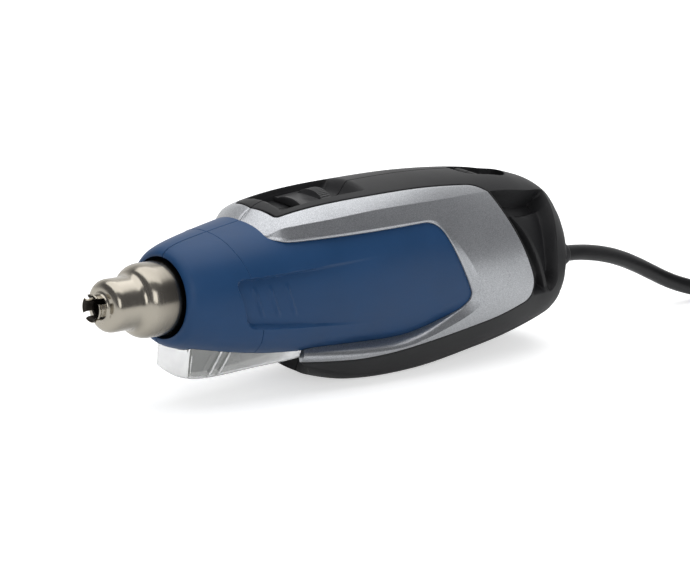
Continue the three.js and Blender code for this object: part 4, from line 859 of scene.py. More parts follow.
def intake_sink(x, z, girth, place):
    """How far the scooped air intake lies below the tail's plain form. Place is the distance from
    the trim's edge, where the scoop begins."""
    if girth < 1 or x < INTAKE_FRONT - 2 or z < INTAKE_FLOOR - 1:
        return 0
    rib, rear = intake_rib(-z), intake_rear(-z)
    inside = soft_step(place, 0.5, 1.9) * soft_step(rear - x, 0, 2.4)
    inside *= soft_step(z - INTAKE_FLOOR, 0, 2.6) * soft_step(girth - 1, 0, 0.04)
    under_visor = soft_step(z, VISOR_FLOOR - 0.5, VISOR_FLOOR + 0.5)
    scoop = SCOOP_DEPTH + SCOOP_STEP * soft_step(x - rib, 0, 2.4) + 0.06 * max(z + 4, 0)
    scoop += SCOOP_CUP * soft_step(INTAKE_FLOOR + 9 - z, 0, 6)
    crest = soft_step(RIB_HALF + 0.8 - abs(x - rib), 0, 1.1) * (1 - under_visor)
    return inside * (scoop + VISOR_DEPTH * under_visor - (scoop - CREST_DEPTH) * crest)


def carve_grip(x, y, z, girth, inward, place):
    """The grip's finished surface point above a point of the outer form."""
    spot = Vector((x, y, z))
    if girth < 1 and x < TRENCH_LAST:
        spot.z -= trench_share(x, y) * max(z - trench_floor(x), 0)
    elif girth < 1.2 and EYE_FIRST < x < EYE_LAST:
        spot.z -= eye_share(x, y) * EYE_DEPTH
    spot += inward * intake_sink(x, z, girth, place)
    if x > BODY_LENGTH - 1:
        spot.x -= BOOT_SEAT_DEPTH * soft_step(BOOT_SEAT_RADIUS - math.hypot(y, z + CORD_DROP), 0, 0.5)
    return spot


GRIP_FRONT, KEEL_FRONT = 39.5, 68
LINE_STEP = 0.5
grip_border = grip_edge(0)
start_knot = (41.86, girth_at(41.86, 10.68, 1))
GRIP_COUNTS = (116, 60, 46, 66, 50, 30, 50, 46)
border_knots = [start_knot, (132, girth_at(132, 12.5, 1)), (140.5, girth_at(140.5, 13, 1)), (145.6, 1),
                knot(163.5, -2), knot(165.8, -14.8), knot(149.3, -20), knot(100, -26.9), grip_border[-1]]
front_side = stepped(grip_border, border_knots, GRIP_COUNTS)
rear_end = BODY_LENGTH + TAIL_CAP
back_steps = round((rear_end - GRIP_FRONT) / LINE_STEP)
keel_steps = round((rear_end - KEEL_FRONT) / LINE_STEP)
middle_line = [(GRIP_FRONT + LINE_STEP * k, 0) for k in range(back_steps)]
middle_line += [(rear_end, 0.01 * k) for k in range(401)]
middle_line += [(rear_end - LINE_STEP * k, 4) for k in range(keel_steps)] + [(KEEL_FRONT, 4)]
middle_side = stepped(middle_line, [(GRIP_FRONT, 0), (132, 0), (202, 0), (rear_end, 1), (rear_end, 2.1),
                                    (rear_end, 3.1), (202, 4), (100, 4), (KEEL_FRONT, 4)], GRIP_COUNTS)


def end_rounds(values, edge):
    """Inserts close stations at both ends, for the rounding of the end edges."""
    def blend(a, b, u):
        return a[0] + (b[0] - a[0]) * u, a[1] + (b[1] - a[1]) * u

    first, second = values[0], values[1]
    last, before = values[-1], values[-2]
    start = [blend(first, second, u) for u in edge]
    finish = [blend(last, before, u) for u in edge]
    return [first, *start, *values[1:-1], *reversed(finish), last]


END_STEPS = (0.12, 0.3, 0.6)
END_FALLS = (0.25, 0.12, 0.04, 0.01)
front_side = end_rounds(front_side, END_STEPS)
middle_side = end_rounds(middle_side, END_STEPS)
WELL_WALL = 0.7
WELL_REACH = 10.6


def line_well(grip, rims, x, z):
    """Carries a screw hole's rims, of both skins of the grip, down to the shell below as one wall."""
    middle = in_frame(x, -WELL_REACH, z)
    ends = []
    for rim, radius in zip(rims, (WELL_RADIUS, WELL_RADIUS + WELL_WALL)):
        ends += draw_ring(grip, rim, middle, radius)
    bmesh.ops.bridge_loops(grip, edges=ends)


# Mesh lines of the grip from the trim's edge over the rib's two feet and the intake's rear wall to the
# parting line, and the stations over which they grow even beyond the intake. The keel's front is bowed.
INTAKE_LINES = (12, 30, 12, 20, 14)
EVEN_SHARES = [sum(INTAKE_LINES[:k]) / sum(INTAKE_LINES) for k in range(1, 5)]
INTAKE_BLEND = 40
BOW_STATIONS = 45
BOW_BEND = 0.55
STEADY = 4


@lru_cache(maxsize=None)
def intake_shares(start, end):
    """The shares of a station's line where it crosses the rib's two feet and the rear edge's wall."""
    def crossing(line, ahead):
        low, high = 0.03, 0.97
        for _ in range(30):
            share = (low + high) / 2
            x, _, z = outer_point(*(a + (b - a) * share for a, b in zip(start, end)))
            if x - line(-z) < ahead:
                low = share
            else:
                high = share
        return low

    shares = []
    feet = [(intake_rib, -RIB_FOOT), (intake_rib, RIB_FOOT), (intake_rear, -REAR_WALL), (intake_rear, 0.2)]
    for line, ahead in feet:
        least = shares[-1] + 0.02 if shares else 0.03
        shares.append(max(crossing(line, ahead), least))
    return shares


def build_left_grip(screw=None):
    """The left grip; with a screw's place, the one that is mirrored for the right side."""
    stations = len(front_side)
    lines = sum(INTAKE_LINES) + 7
    first = sum(GRIP_COUNTS[:3]) + len(END_STEPS)
    last = sum(GRIP_COUNTS[:5]) + len(END_STEPS)
    grip = new_grid(stations, lines)
    plain = {}
    for i, ((ax, at), (bx, bt)) in enumerate(zip(front_side, middle_side)):
        a, b = Vector(outer_point(ax, at)), Vector(outer_point(bx, bt))
        halfway = Vector(outer_point((ax + bx) / 2, (at + bt) / 2))
        width = max((halfway - a).length + (b - halfway).length, 0.5)
        edge = min(GRIP_EDGE, 0.2 * width)
        held = min(max(i, first), last)
        near = max(0, 1 - abs(i - held) / INTAKE_BLEND)
        shares = intake_shares(front_side[held], middle_side[held])
        turns = [width * (even + (share - even) * near) for even, share in zip(EVEN_SHARES, shares)]
        places = [0, 0.15 * edge, 0.45 * edge, edge]
        for start, end, count in zip([edge, *turns], [*turns, width - edge], INTAKE_LINES):
            places += [start + (end - start) * (k + 1) / count for k in range(count)]
        places += [width - 0.45 * edge, width - 0.15 * edge, width]
        ends = min(i, stations - 1 - i)
        end_fall = END_FALLS[ends] if ends < len(END_FALLS) else 0
        bow = 1 - BOW_BEND * soft_step(i, stations - BOW_STATIONS, stations - 1)
        for j, place in enumerate(places):
            share = place / width
            vertex = grip.verts[j * stations + i]
            x, girth = ax + (bx - ax) * share ** bow, at + (bt - at) * share
            fall = edge_round(place, edge) + edge_round((width - place) * 1.4, edge) + end_fall
            plain[vertex] = (*outer_point(x, girth), girth, fall, place, ends < 5)
            vertex.co = in_frame(*plain[vertex][:3])
    face_left(grip)
    # The rounded rims take their direction from the plain surface beside them.
    inward = {}
    for index, vertex in enumerate(grip.verts):
        column = min(max(index % stations, STEADY), stations - STEADY)
        row = min(max(index // stations, STEADY), lines - STEADY)
        inward[vertex] = -grip.verts[row * stations + column].normal
    middle, length, width = STEM_SLOT
    slot = []
    for face in grip.faces:
        x, y, z = in_casing(face.calc_center_median())
        if z > 0 and abs(x - middle) < length and y > -width:
            slot.append(face)
    bmesh.ops.delete(grip, geom=slot, context="FACES")
    well = set(open_well(grip, *screw, -1)) if screw else set()
    for vertex in {v for edge in well for v in edge.verts}:
        plain[vertex] = (*in_casing(vertex.co), *plain[vertex][3:])
    outside = grip.verts[:]
    copied, rim = double_skin(grip)
    for vertex in outside:
        x, y, z, girth, fall, place, at_end = plain[vertex]
        spot = carve_grip(x, y, z, girth, inward[vertex], place)
        wall = max(carcass_reach(spot, inward[vertex]) - TRIM_GAP, GRIP_WALL) if at_end else GRIP_WALL
        outer = spot + inward[vertex] * fall
        inner = spot + inward[vertex] * wall
        vertex.co = in_frame(outer.x, min(outer.y, 0) - PARTING_GAP, outer.z)
        copied[vertex].co = in_frame(inner.x, min(inner.y, 0) - PARTING_GAP, inner.z)
    if well:
        line_well(grip, [well, {grip.edges.get([copied[v] for v in edge.verts]) for edge in well}], *screw)
    join_skins(grip, [edge for edge in rim if edge not in well], copied)
    reach = EYE[2] + 0.4
    bar_x, bar_radius = EYE_BAR
    turn = Matrix.Rotation(math.pi / 2, 4, "X")
    bar_height = crown_line(bar_x) - bar_radius - EYE_BAR_DROP
    place = Matrix.Translation(in_frame(bar_x, -reach / 2 - PARTING_GAP, bar_height))
    bmesh.ops.create_cone(grip, cap_ends=True, segments=36, radius1=bar_radius / 1000,
                          radius2=bar_radius / 1000, depth=reach / 1000, matrix=place @ turn)
    return grip


grip_black = mottled("grip_black_soft_touch", (30, 3), (0.0125, 0.0125, 0.0135), (0.0175, 0.0175, 0.0185),
                     (0.44, 0.54), grain=(1900, 3), bump=(0.2, 0.00012),
                     sockets={"Specular IOR Level": 0.22})

left_grip = build_left_grip()
right_grip = mirrored(build_left_grip(SCREW_PLACES[2]))
set_piece("left_grip", left_grip, grip_black, ["left_grip_shell"])
set_piece("right_grip", right_grip, grip_black, ["right_grip_shell"])

# Thumb switch: a matt black slide that lies in the trench, moulded in one with the stem that works
# the switch below. A finely ribbed arch stands across its rear end and a thin blade in front.
SLIDER_PLACE = (65.4, 0, 27.57)
SLIDER_SLOPE = 0.0825
SLIDER_LENGTH = 15
SLIDER_WIDTH = 16.8
SLIDER_PLATE = 1.5
ARCH_LENGTH, ARCH_HEIGHT = 5, 4.2
BLADE_LENGTH, BLADE_HEIGHT = 1.1, 3
ARCH_RIBS = 19
STEM = (4, 2.8, 4.4)


def arched(y, height):
    reach = min(abs(y) / (SLIDER_WIDTH / 2), 1)
    turn = (1.2 - math.sqrt(1.44 - 0.8 * reach)) / 0.4
    return height * (1 - turn * turn)


def slider_top(x, y):
    """Height of the slide above its underside."""
    rear = SLIDER_LENGTH / 2
    arch_front = rear - ARCH_LENGTH
    arch = max(arched(y, ARCH_HEIGHT) - SLIDER_PLATE, 0)
    blade = max(arched(y, BLADE_HEIGHT) - SLIDER_PLATE, 0)
    on_arch = soft_step(x, arch_front - 0.35, arch_front + 0.25)
    foot = 0.16 * soft_step(x, arch_front - 3.2, arch_front) ** 2
    on_blade = 1 - soft_step(x, BLADE_LENGTH - rear, BLADE_LENGTH - rear + 0.4)
    saddle = 0.3 * (1 - soft_step(x, BLADE_LENGTH - rear, BLADE_LENGTH - rear + 3))
    height = SLIDER_PLATE + arch * max(on_arch, foot) + blade * max(on_blade, saddle)
    wave = 0.5 + 0.5 * math.cos(2 * math.pi * ARCH_RIBS * y / SLIDER_WIDTH)
    ribbed = soft_step(x, arch_front + 0.35, arch_front + 0.7) * soft_step(rear - x, 0.3, 0.6)
    height -= 0.22 * ribbed * (1 - wave ** 3) * min(arch, 1)
    edge = min(x + rear, rear - x, SLIDER_WIDTH / 2 - abs(y))
    return height - edge_round(edge, 0.35)


def build_slider():
    slide = bmesh.new()
    across, along = 170, 64
    flat = Matrix.Diagonal((SLIDER_LENGTH / 2000, SLIDER_WIDTH / 2000, 1, 1))
    bmesh.ops.create_grid(slide, x_segments=along, y_segments=across, size=1, matrix=flat)
    raised = bmesh.ops.extrude_face_region(slide, geom=slide.faces[:])["geom"]
    for vertex in [part for part in raised if isinstance(part, bmesh.types.BMVert)]:
        vertex.co.z = slider_top(vertex.co.x * 1000, vertex.co.y * 1000) / 1000
    length, width, depth = STEM
    stem = Matrix.Translation((0, 0, -depth / 2000 + 0.0002))
    stem @= Matrix.Diagonal((length / 1000, width / 1000, depth / 1000, 1))
    bmesh.ops.create_cube(slide, size=1, matrix=stem)
    bmesh.ops.rotate(slide, verts=slide.verts[:], matrix=Matrix.Rotation(-SLIDER_SLOPE, 3, "Y"))
    bmesh.ops.translate(slide, verts=slide.verts[:], vec=in_frame(*SLIDER_PLACE))
    return slide


switch_black = mottled("switch_black_nylon", (90, 2), (0.011, 0.011, 0.012), (0.017, 0.017, 0.018),
                       (0.38, 0.5), grain=(2300, 2), bump=(0.15, 0.0001))
set_piece("thumb_slide", build_slider(), switch_black, ["switch_slider"], "slider")

# Outlet: one deep-drawn stainless tube, necked twice, that the ceramic collar holds in the shells. Its
# mouth is slit four times and rolled out into small hooks, where push-on nozzles are held.
OUTLET_TIP = -29.2
OUTLET_WALL = 0.8
TUBE_RADIUS = 13.1
TUBE_REAR = 58
SLIT_WIDTH = 2.3
SLIT_LENGTH = 3.6
OUTLET_ROUND = 0.12
# Where the painted reflection on the tube begins and ends, as casing x.
REFLECTED_SHADE_START, REFLECTED_SHADE_END = -11, 2
LIP = [(-29.2, 4.66), (-29.13, 4.86), (-28.95, 4.95), (-28.7, 4.92), (-28.4, 4.62), (-28.1, 4.45)]
DOME_FOOT = [(-26.0, 4.4), (-25.4, 4.4), (-25.0, 4.8), (-24.85, 5.4)]
DOME = [(-24.85, 5.4), (-24.6, 7.8), (-23.9, 9.3), (-20.9, 9.3)]
STEP_FOOT = [(-14.8, 9.3), (-13.4, 9.3), (-12.6, 9.75), (-12.0, 10.6)]
STEP = [(-12.0, 10.6), (-11.0, 12.1), (-9.6, 13.1), (-6.4, 13.1)]


def swept(corners, steps):
    """Points on the curve that four corners draw, without the first."""
    spots = [Vector((x, r, 0)) for x, r in corners]
    return [(p.x, p.y) for p in interpolate_bezier(*spots, steps + 1)[1:]]


def spun(profile, start, along, steps):
    """A turned form: pairs of reach and radius, spun about an axis that begins at a casing place."""
    axis = Vector(along)
    out = axis.orthogonal().normalized()
    form = bmesh.new()
    points = []
    for reach, radius in profile:
        points.append(form.verts.new(in_frame(*(Vector(start) + axis * reach + out * radius))))
    edges = [form.edges.new(pair) for pair in zip(points, points[1:])]
    bmesh.ops.spin(form, geom=points + edges, cent=in_frame(*start), axis=axis, angle=2 * math.pi,
                   steps=steps, use_merge=True)
    bmesh.ops.remove_doubles(form, verts=form.verts[:], dist=1e-7)
    return form


def cut_slits(tube):
    """Two crossing pairs of slits in the mouth, between hooks at the top, the bottom and the sides."""
    middle = in_frame(0, 0, 0)
    floor_x = in_frame(OUTLET_TIP + SLIT_LENGTH, 0, 0).x
    directions = [Vector((0, -math.sin(turn), math.cos(turn))) for turn in (math.pi / 4, 3 * math.pi / 4)]
    planes = [(Vector((floor_x, 0, 0)), Vector((1, 0, 0)))]
    for direction in directions:
        planes += [(middle + direction * side * SLIT_WIDTH / 2000, direction) for side in (-1, 1)]
    for spot, direction in planes:
        mouth = [face for face in tube.faces if face.calc_center_median().x < floor_x + 0.001]
        geom = {part for face in mouth for part in (face, *face.edges, *face.verts)}
        bmesh.ops.bisect_plane(tube, geom=list(geom), dist=1e-8, plane_co=spot, plane_no=direction)
    slit = []
    for face in tube.faces:
        centre = face.calc_center_median() - middle
        if centre.x < floor_x - middle.x and any(
                abs(centre.dot(direction)) < SLIT_WIDTH / 2000 for direction in directions):
            slit.append(face)
    bmesh.ops.delete(tube, geom=slit, context="FACES")


def soften(mesh, edges, width, steps):
    """Rounds sharp edges over a width in millimetres."""
    bmesh.ops.bevel(mesh, geom=edges, offset=width / 1000, offset_type="OFFSET", segments=steps,
                    profile=0.5, affect="EDGES", material=-1, clamp_overlap=True)


def build_outlet():
    profile = LIP + swept([(-28.1, 4.45), (-27.8, 4.4), (-26.8, 4.4), DOME_FOOT[0]], 5)
    profile += swept(DOME_FOOT, 7) + swept(DOME, 18) + [(-18, 9.3), (-16.4, 9.3), STEP_FOOT[0]]
    profile += swept(STEP_FOOT, 8) + swept(STEP, 16)
    profile += [(x, TUBE_RADIUS) for x in (-4, -1.5, 1, 6, 14, 28, 42, TUBE_REAR)]
    tube = spun(profile, (0, 0, 0), (1, 0, 0), 112)
    cut_slits(tube)
    bmesh.ops.recalc_face_normals(tube, faces=tube.faces[:])
    middle = in_frame(0, 0, 0)
    if sum((f.calc_center_median() - middle).yz.dot(f.normal.yz) for f in tube.faces) < 0:
        bmesh.ops.reverse_faces(tube, faces=tube.faces[:])
    bmesh.ops.solidify(tube, geom=tube.faces[:], thickness=OUTLET_WALL / 1000)
    # Faces that look into the tube take the second finish, a painted shade for the unlit hollow.
    for face in tube.faces:
        out = (face.calc_center_median() - middle).yz
        face.material_index = 1 if out.length > 1e-6 and face.normal.yz.dot(out.normalized()) < -0.3 else 0
    rims = [edge for edge in tube.edges if edge.is_manifold and edge.calc_face_angle() > 0.9
            and (edge.verts[0].co.x - middle.x) * 1000 < OUTLET_TIP + SLIT_LENGTH + 0.3]
    soften(tube, rims, OUTLET_ROUND, 2)
    return tube


outlet_steel, tree, shader = new_finish("outlet_drawn_steel")
# The marks of drawing run round the tube.
draw_marks = speckle(tree, 2600, 3)
place = draw_marks.inputs["Vector"].links[0].from_node
drawn_out = node(tree, "Mapping")
drawn_out.inputs["Scale"].default_value = (1, 0.04, 0.04)
tree.links.new(place.outputs["Object"], drawn_out.inputs["Vector"])
tree.links.new(drawn_out.outputs["Vector"], draw_marks.inputs["Vector"])
# Painted reflection: the base colour darkens to brown towards the shell, where the tube mirrors the dark gap
# and the blue nose.
along = node(tree, "SeparateXYZ")
tree.links.new(place.outputs["Object"], along.inputs[0])
reflected_shade = node(tree, "MapRange")
reflected_shade.inputs["From Min"].default_value = in_frame(REFLECTED_SHADE_START, 0, 0).x
reflected_shade.inputs["From Max"].default_value = in_frame(REFLECTED_SHADE_END, 0, 0).x
tree.links.new(along.outputs["X"], reflected_shade.inputs["Value"])
ramp(tree, reflected_shade.outputs["Result"], shader.inputs["Base Color"], (0.39, 0.36, 0.305), (0.13, 0.117, 0.096),
     (0, 1))
ramp(tree, draw_marks.outputs["Fac"], shader.inputs["Roughness"], (0.17, 0.17, 0.17), (0.28, 0.28, 0.28))
shader.inputs["Metallic"].default_value = 1
grain_bump(tree, shader, draw_marks.outputs["Fac"], 0.05, 0.00006)

# Inside of the tube: dark, rough steel that paints in the shade of the hollow.
inner_shade_steel = mottled("outlet_inner_steel_painted_shade", (260, 4), (0.018, 0.015, 0.012), (0.05, 0.042, 0.034),
                         (0.5, 0.75), bump=None, sockets={"Metallic": 0.6})
outlet_tube = set_piece("outlet_tube", build_outlet(), outlet_steel, ["outlet_nozzle"],
                        sharp=35)
outlet_tube.data.materials.append(inner_shade_steel)

# Work light: a clear, slightly hazy polycarbonate trough clipped under the nose, with two slanted
# stiffening ribs on each wall. It widens from the flat front to the keel, and its upper edge follows
# the shells' belly.
LENS_FRONT, LENS_REAR = 8.6, 54.4
LENS_FRONT_HALF, LENS_REAR_HALF = 9.3, 16.4
LENS_WALL = 1.5
LENS_SEAT = 0.15
LENS_FILLET = 1.5
LENS_DRAFT = 0.35
LENS_CROWNING = 0.9
LENS_CORNER = 0.7
LENS_RIBS = (20.0, 23.9)
LENS_RIB_LEAN = 0.5
LENS_RIB_MIDDLE = -20.5
LENS_RIB_HEIGHT = 0.34
LENS_RIB_HALF = 0.5
lens_floor = smooth_line([(8.6, -28.3), (10.2, -28.8), (13.5, -29.1), (19, -29), (25, -28.5),
                          (37, -27.2), (48, -26.3), (54.4, -25.5)])


def belly_height(x, y):
    """Height of the shells' underside."""
    side, _, bottom, fullness = carcass_size(x)
    return -bottom * (1 - min(abs(y) / side, 1) ** fullness) ** (1 / fullness)


def lens_half(x):
    return LENS_FRONT_HALF + (LENS_REAR_HALF - LENS_FRONT_HALF) * (x - LENS_FRONT) / (LENS_REAR - LENS_FRONT)


def lens_section(x):
    """The left half of the trough's section, from its upper edge down and in to the middle."""
    half, floor_height = lens_half(x), lens_floor(x)
    top = belly_height(x, half) - LENS_SEAT
    low = floor_height + LENS_FILLET
    wall = [(half - LENS_DRAFT * k / 14, top + (low - top) * k / 14) for k in range(15)]
    foot = half - LENS_DRAFT
    for k in range(1, 8):
        turn = math.pi / 2 * k / 7
        wall.append((foot - LENS_FILLET * (1 - math.cos(turn)), low - LENS_FILLET * math.sin(turn)))
    inner = wall[-1][0]
    for k in range(1, 11):
        y = inner * (1 - k / 10)
        wall.append((y, floor_height - LENS_CROWNING * (1 - (y / inner) ** 2)))
    return wall


def lens_rib(x, z):
    """How far the two ribs stand out of a side wall."""
    rise = 0
    for place in LENS_RIBS:
        off = (x - place - LENS_RIB_LEAN * (z - LENS_RIB_MIDDLE)) / LENS_RIB_HALF
        rise += LENS_RIB_HEIGHT * max(0, 1 - off * off)
    return rise


def close_end(trough, x):
    """Fills one end of the trough up to the belly's line."""
    rim = [edge for edge in trough.edges if edge.is_boundary
           and all(abs(in_casing(v.co)[0] - x) < 1e-3 for v in edge.verts)]
    corners = {v for edge in rim for v in edge.verts if sum(e in rim for e in v.link_edges) == 1}
    left, right = sorted(corners, key=lambda v: v.co.y)
    half = abs(in_casing(left.co)[1])
    chain = [left]
    for k in range(1, 16):
        y = half * (2 * k / 16 - 1)
        chain.append(trough.verts.new(in_frame(x, y, belly_height(x, y) - LENS_SEAT)))
    rim += [trough.edges.new(pair) for pair in zip(chain, [*chain[1:], right])]
    return bmesh.ops.contextual_create(trough, geom=rim)["faces"]


def build_lens():
    stations = [LENS_FRONT + 0.5 * k for k in range(12)] + [14.6 + 0.25 * k for k in range(48)]
    stations += [26.6 + 0.9 * k for k in range(31)] + [LENS_REAR]
    lines = 2 * len(lens_section(LENS_FRONT)) - 1
    trough = new_grid(len(stations), lines)
    for column, x in enumerate(stations):
        half = lens_section(x)
        for row in range(lines):
            y, z = half[min(row, lines - 1 - row)]
            side = -1 if row <= lines // 2 else 1
            swell = lens_rib(x, z) if y > lens_half(x) - LENS_DRAFT - 0.2 else 0
            trough.verts[row * len(stations) + column].co = in_frame(x, side * (y + swell), z)
    front = close_end(trough, LENS_FRONT)
    close_end(trough, LENS_REAR)
    bmesh.ops.recalc_face_normals(trough, faces=trough.faces[:])
    corner = [edge for edge in front[0].edges if len(edge.link_faces) == 2]
    soften(trough, corner, LENS_CORNER, 4)
    bmesh.ops.solidify(trough, geom=trough.faces[:], thickness=LENS_WALL / 1000)
    return trough


clear_lens = mottled("lens_clear_polycarbonate", (160, 3), (0.38, 0.385, 0.37), (0.45, 0.455, 0.44),
                     (0.02, 0.05), grain=(2200, 2), sockets={"Transmission Weight": 0.66, "IOR": 1.49})
set_piece("work_light_trough", build_lens(), clear_lens, ["work_light_lens"])

# Work lamp: a bare white light-emitting diode in clear epoxy, domed in front, with the usual flange
# round its foot. It lies in the trough and shines forward.
LAMP_START = 11.9
LAMP_RADIUS = 2.4
LAMP_FLANGE = 2.88
lamp_height = belly_height(LAMP_START + 7, 0) - 0.6 - LAMP_FLANGE
lamp_profile = [(LAMP_RADIUS * (1 - math.cos(turn)), LAMP_RADIUS * math.sin(turn))
                for turn in [math.pi / 2 * k / 12 for k in range(13)]]
lamp_profile += [(4.2, 2.4), (5.6, 2.42), (5.8, 2.5), (5.85, 2.8), (5.95, LAMP_FLANGE),
                 (6.9, LAMP_FLANGE), (7, LAMP_FLANGE - 0.1), (7, 0)]
lamp_epoxy = mottled("lamp_clear_epoxy", (420, 2), (0.11, 0.11, 0.1), (0.17, 0.17, 0.155), (0.06, 0.14),
                     bump=None, sockets={"Transmission Weight": 0.2})
lamp = spun(lamp_profile, (LAMP_START, 0, lamp_height), (1, 0, 0), 36)
set_piece("work_light_diode", lamp, lamp_epoxy, ["work_lamp"])

# Housing screws: three zinc-plated self-tapping screws with pan heads and cross recesses. They go in
# from the right through moulded wells and draw the two shells and grips together.
SCREW_FOOT, SCREW_SEAT = -9, 7.3
SCREW_RADIUS, SCREW_HEAD_RADIUS = 1.3, 2.5
CROSS_ARM, CROSS_HALF, CROSS_DEPTH = 1.45, 0.36, 0.9


def build_screw(x, z):
    top = SCREW_SEAT + 2
    profile = [(SCREW_FOOT, 0), (SCREW_FOOT + 1.6, SCREW_RADIUS * 0.85), (SCREW_FOOT + 2.4, SCREW_RADIUS),
               (SCREW_SEAT, SCREW_RADIUS), (SCREW_SEAT, SCREW_HEAD_RADIUS - 0.1)]
    profile += swept([(SCREW_SEAT, SCREW_HEAD_RADIUS - 0.1), (SCREW_SEAT + 1.2, SCREW_HEAD_RADIUS + 0.1),
                      (top - 0.1, SCREW_HEAD_RADIUS - 0.4), (top, 1.7)], 8)
    profile += [(top, 1.7 * (1 - k / 9)) for k in range(1, 10)]
    screw = spun(profile, (x, 0, z), (0, 1, 0), 48)
    for vertex in screw.verts:
        across, reach, up = in_casing(vertex.co)
        if reach < top - 0.05:
            continue
        long, short = sorted((abs(across - x), abs(up - z)), reverse=True)
        sunk = soft_step(CROSS_ARM - long, 0, 0.35) * soft_step(CROSS_HALF - short, -0.12, 0.12)
        vertex.co.y -= CROSS_DEPTH * sunk / 1000
    return screw


screw_zinc = mottled("screw_zinc_plate", (700, 3), (0.36, 0.36, 0.35), (0.52, 0.52, 0.5), (0.28, 0.42),
                     bump=None, sockets={"Metallic": 1})
for number, (x, z) in enumerate(SCREW_PLACES, 1):
    set_piece(f"pan_screw_{number}", build_screw(x, z), screw_zinc,
              [f"housing_screw_{number}"])

# Inner pieces: heater, fan, motor, switch and board lie in the closed shells as the solids have them,
# so they keep their solids and get the finish of their own stuff.
def dress(finish, *nodes):
    for name in nodes:
        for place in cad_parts[name].material_slots:
            place.material = finish


dress(mottled("heater_ceramic_white", (900, 3), (0.62, 0.58, 0.5), (0.74, 0.7, 0.62), (0.7, 0.85)),
      "outlet_collar", "heater_core")
dress(mottled("mica_wrap_brown", (300, 3), (0.32, 0.24, 0.14), (0.5, 0.4, 0.26), (0.25, 0.5),
              bump=(0.25, 0.0001)), "mica_sleeve")
dress(mottled("fan_grey_nylon", (1400, 3), (0.055, 0.058, 0.063), (0.08, 0.083, 0.09), (0.42, 0.55)),
      "fan_rotor")
dress(mottled("inner_black_nylon", (1400, 3), (0.011, 0.011, 0.012), (0.019, 0.019, 0.02), (0.45, 0.6)),
      "fan_shroud", "motor_bulkhead", "motor_cap", "switch_body", "rectifier", "cord_clamp")
dress(mottled("motor_can_steel", (480, 3), (0.3, 0.3, 0.29), (0.44, 0.44, 0.43), (0.3, 0.45),
              sockets={"Metallic": 1}), "motor_can")
dress(screw_zinc, "clamp_screw_1", "clamp_screw_2")

board_green, tree, shader = new_finish("board_green_lacquer")
place = node(tree, "TexCoord")
tracks = node(tree, "TexBrick")
tracks.inputs["Color1"].default_value = (0.012, 0.105, 0.045, 1)
tracks.inputs["Color2"].default_value = (0.016, 0.13, 0.055, 1)
tracks.inputs["Mortar"].default_value = (0.03, 0.2, 0.09, 1)
tracks.inputs["Scale"].default_value = 320
tree.links.new(place.outputs["Object"], tracks.inputs["Vector"])
tree.links.new(tracks.outputs["Color"], shader.inputs["Base Color"])
grain_bump(tree, shader, tracks.outputs["Fac"], 0.2, 0.00005)
shader.inputs["Roughness"].default_value = 0.35
dress(board_green, "circuit_board")

# Mains lead: a round black PVC cable 6.6 mm thick. It leaves the tail through a ringed rubber boot,
# falls to the table, and its spare length lies in a tied coil of four layers, with the plug beside it.
CORD_RADIUS = 3.3
CORD_DIAMETER = 2 * CORD_RADIUS
BOOT_TIP = 211
TURN_PITCH = 7.15
TURN_STEPS = 24
COIL_LAYERS = 4
COIL_CLIMB = 0.5
SWING_START = 302
SWING_RADIUS = 27
SWING = math.radians(39)
COIL_TURNS = 7.5 + SWING / (2 * math.pi)
COIL_MIDDLE = 70
COIL_LIFT = 1.4
PLUG_LEAD, PLUG_SHIFT, PLUG_MIDDLE = 42, 5.5, 6.7
layer_turns = (COIL_TURNS - (COIL_LAYERS - 1) * COIL_CLIMB) / COIL_LAYERS
coil_radius = (COIL_MIDDLE + layer_turns * TURN_PITCH) / 2
coil_low = -KEEL_DEPTH + COIL_LIFT + CORD_RADIUS
coil_high = coil_low + (COIL_LAYERS - 1) * TURN_PITCH
swing_along = (math.cos(SWING), math.sin(SWING))
swing_end = (SWING_START + SWING_RADIUS * math.sin(SWING), SWING_RADIUS * (1 - math.cos(SWING)))
coil_entry = [place + CORD_DIAMETER * way for place, way in zip(swing_end, swing_along)]
coil_x = coil_entry[0] + CORD_DIAMETER * swing_along[0] + coil_radius * swing_along[1]
coil_y = coil_entry[1] + CORD_DIAMETER * swing_along[1] - coil_radius * swing_along[0]
end_x, end_y = coil_x - CORD_DIAMETER, coil_y - coil_radius
plug_rear = end_x - PLUG_LEAD
plug_side = end_y + PLUG_SHIFT
plug_height = -KEEL_DEPTH + PLUG_MIDDLE
FREE_FALL = [(209, 0), (219, 0.4), (229, 1.7), (238, 3.5), (247, 6), (258, 10), (269, 14.6), (280, 19.2),
             (291, 23)]
COIL_LEAVING = [(4, 0, 0.3), (10.5, 0.7, 2.4), (21, 2.8, 9.7), (31.5, 4.8, 17.1)]


def turns_inside(turns):
    """How many pitches a turn lies inside the outermost one: in and out again, layer by layer."""
    run = layer_turns + COIL_CLIMB
    stretch = math.floor((turns + COIL_CLIMB / 2) / run)
    return turns - stretch * run if stretch % 2 == 0 else (stretch + 1) * run - turns - COIL_CLIMB


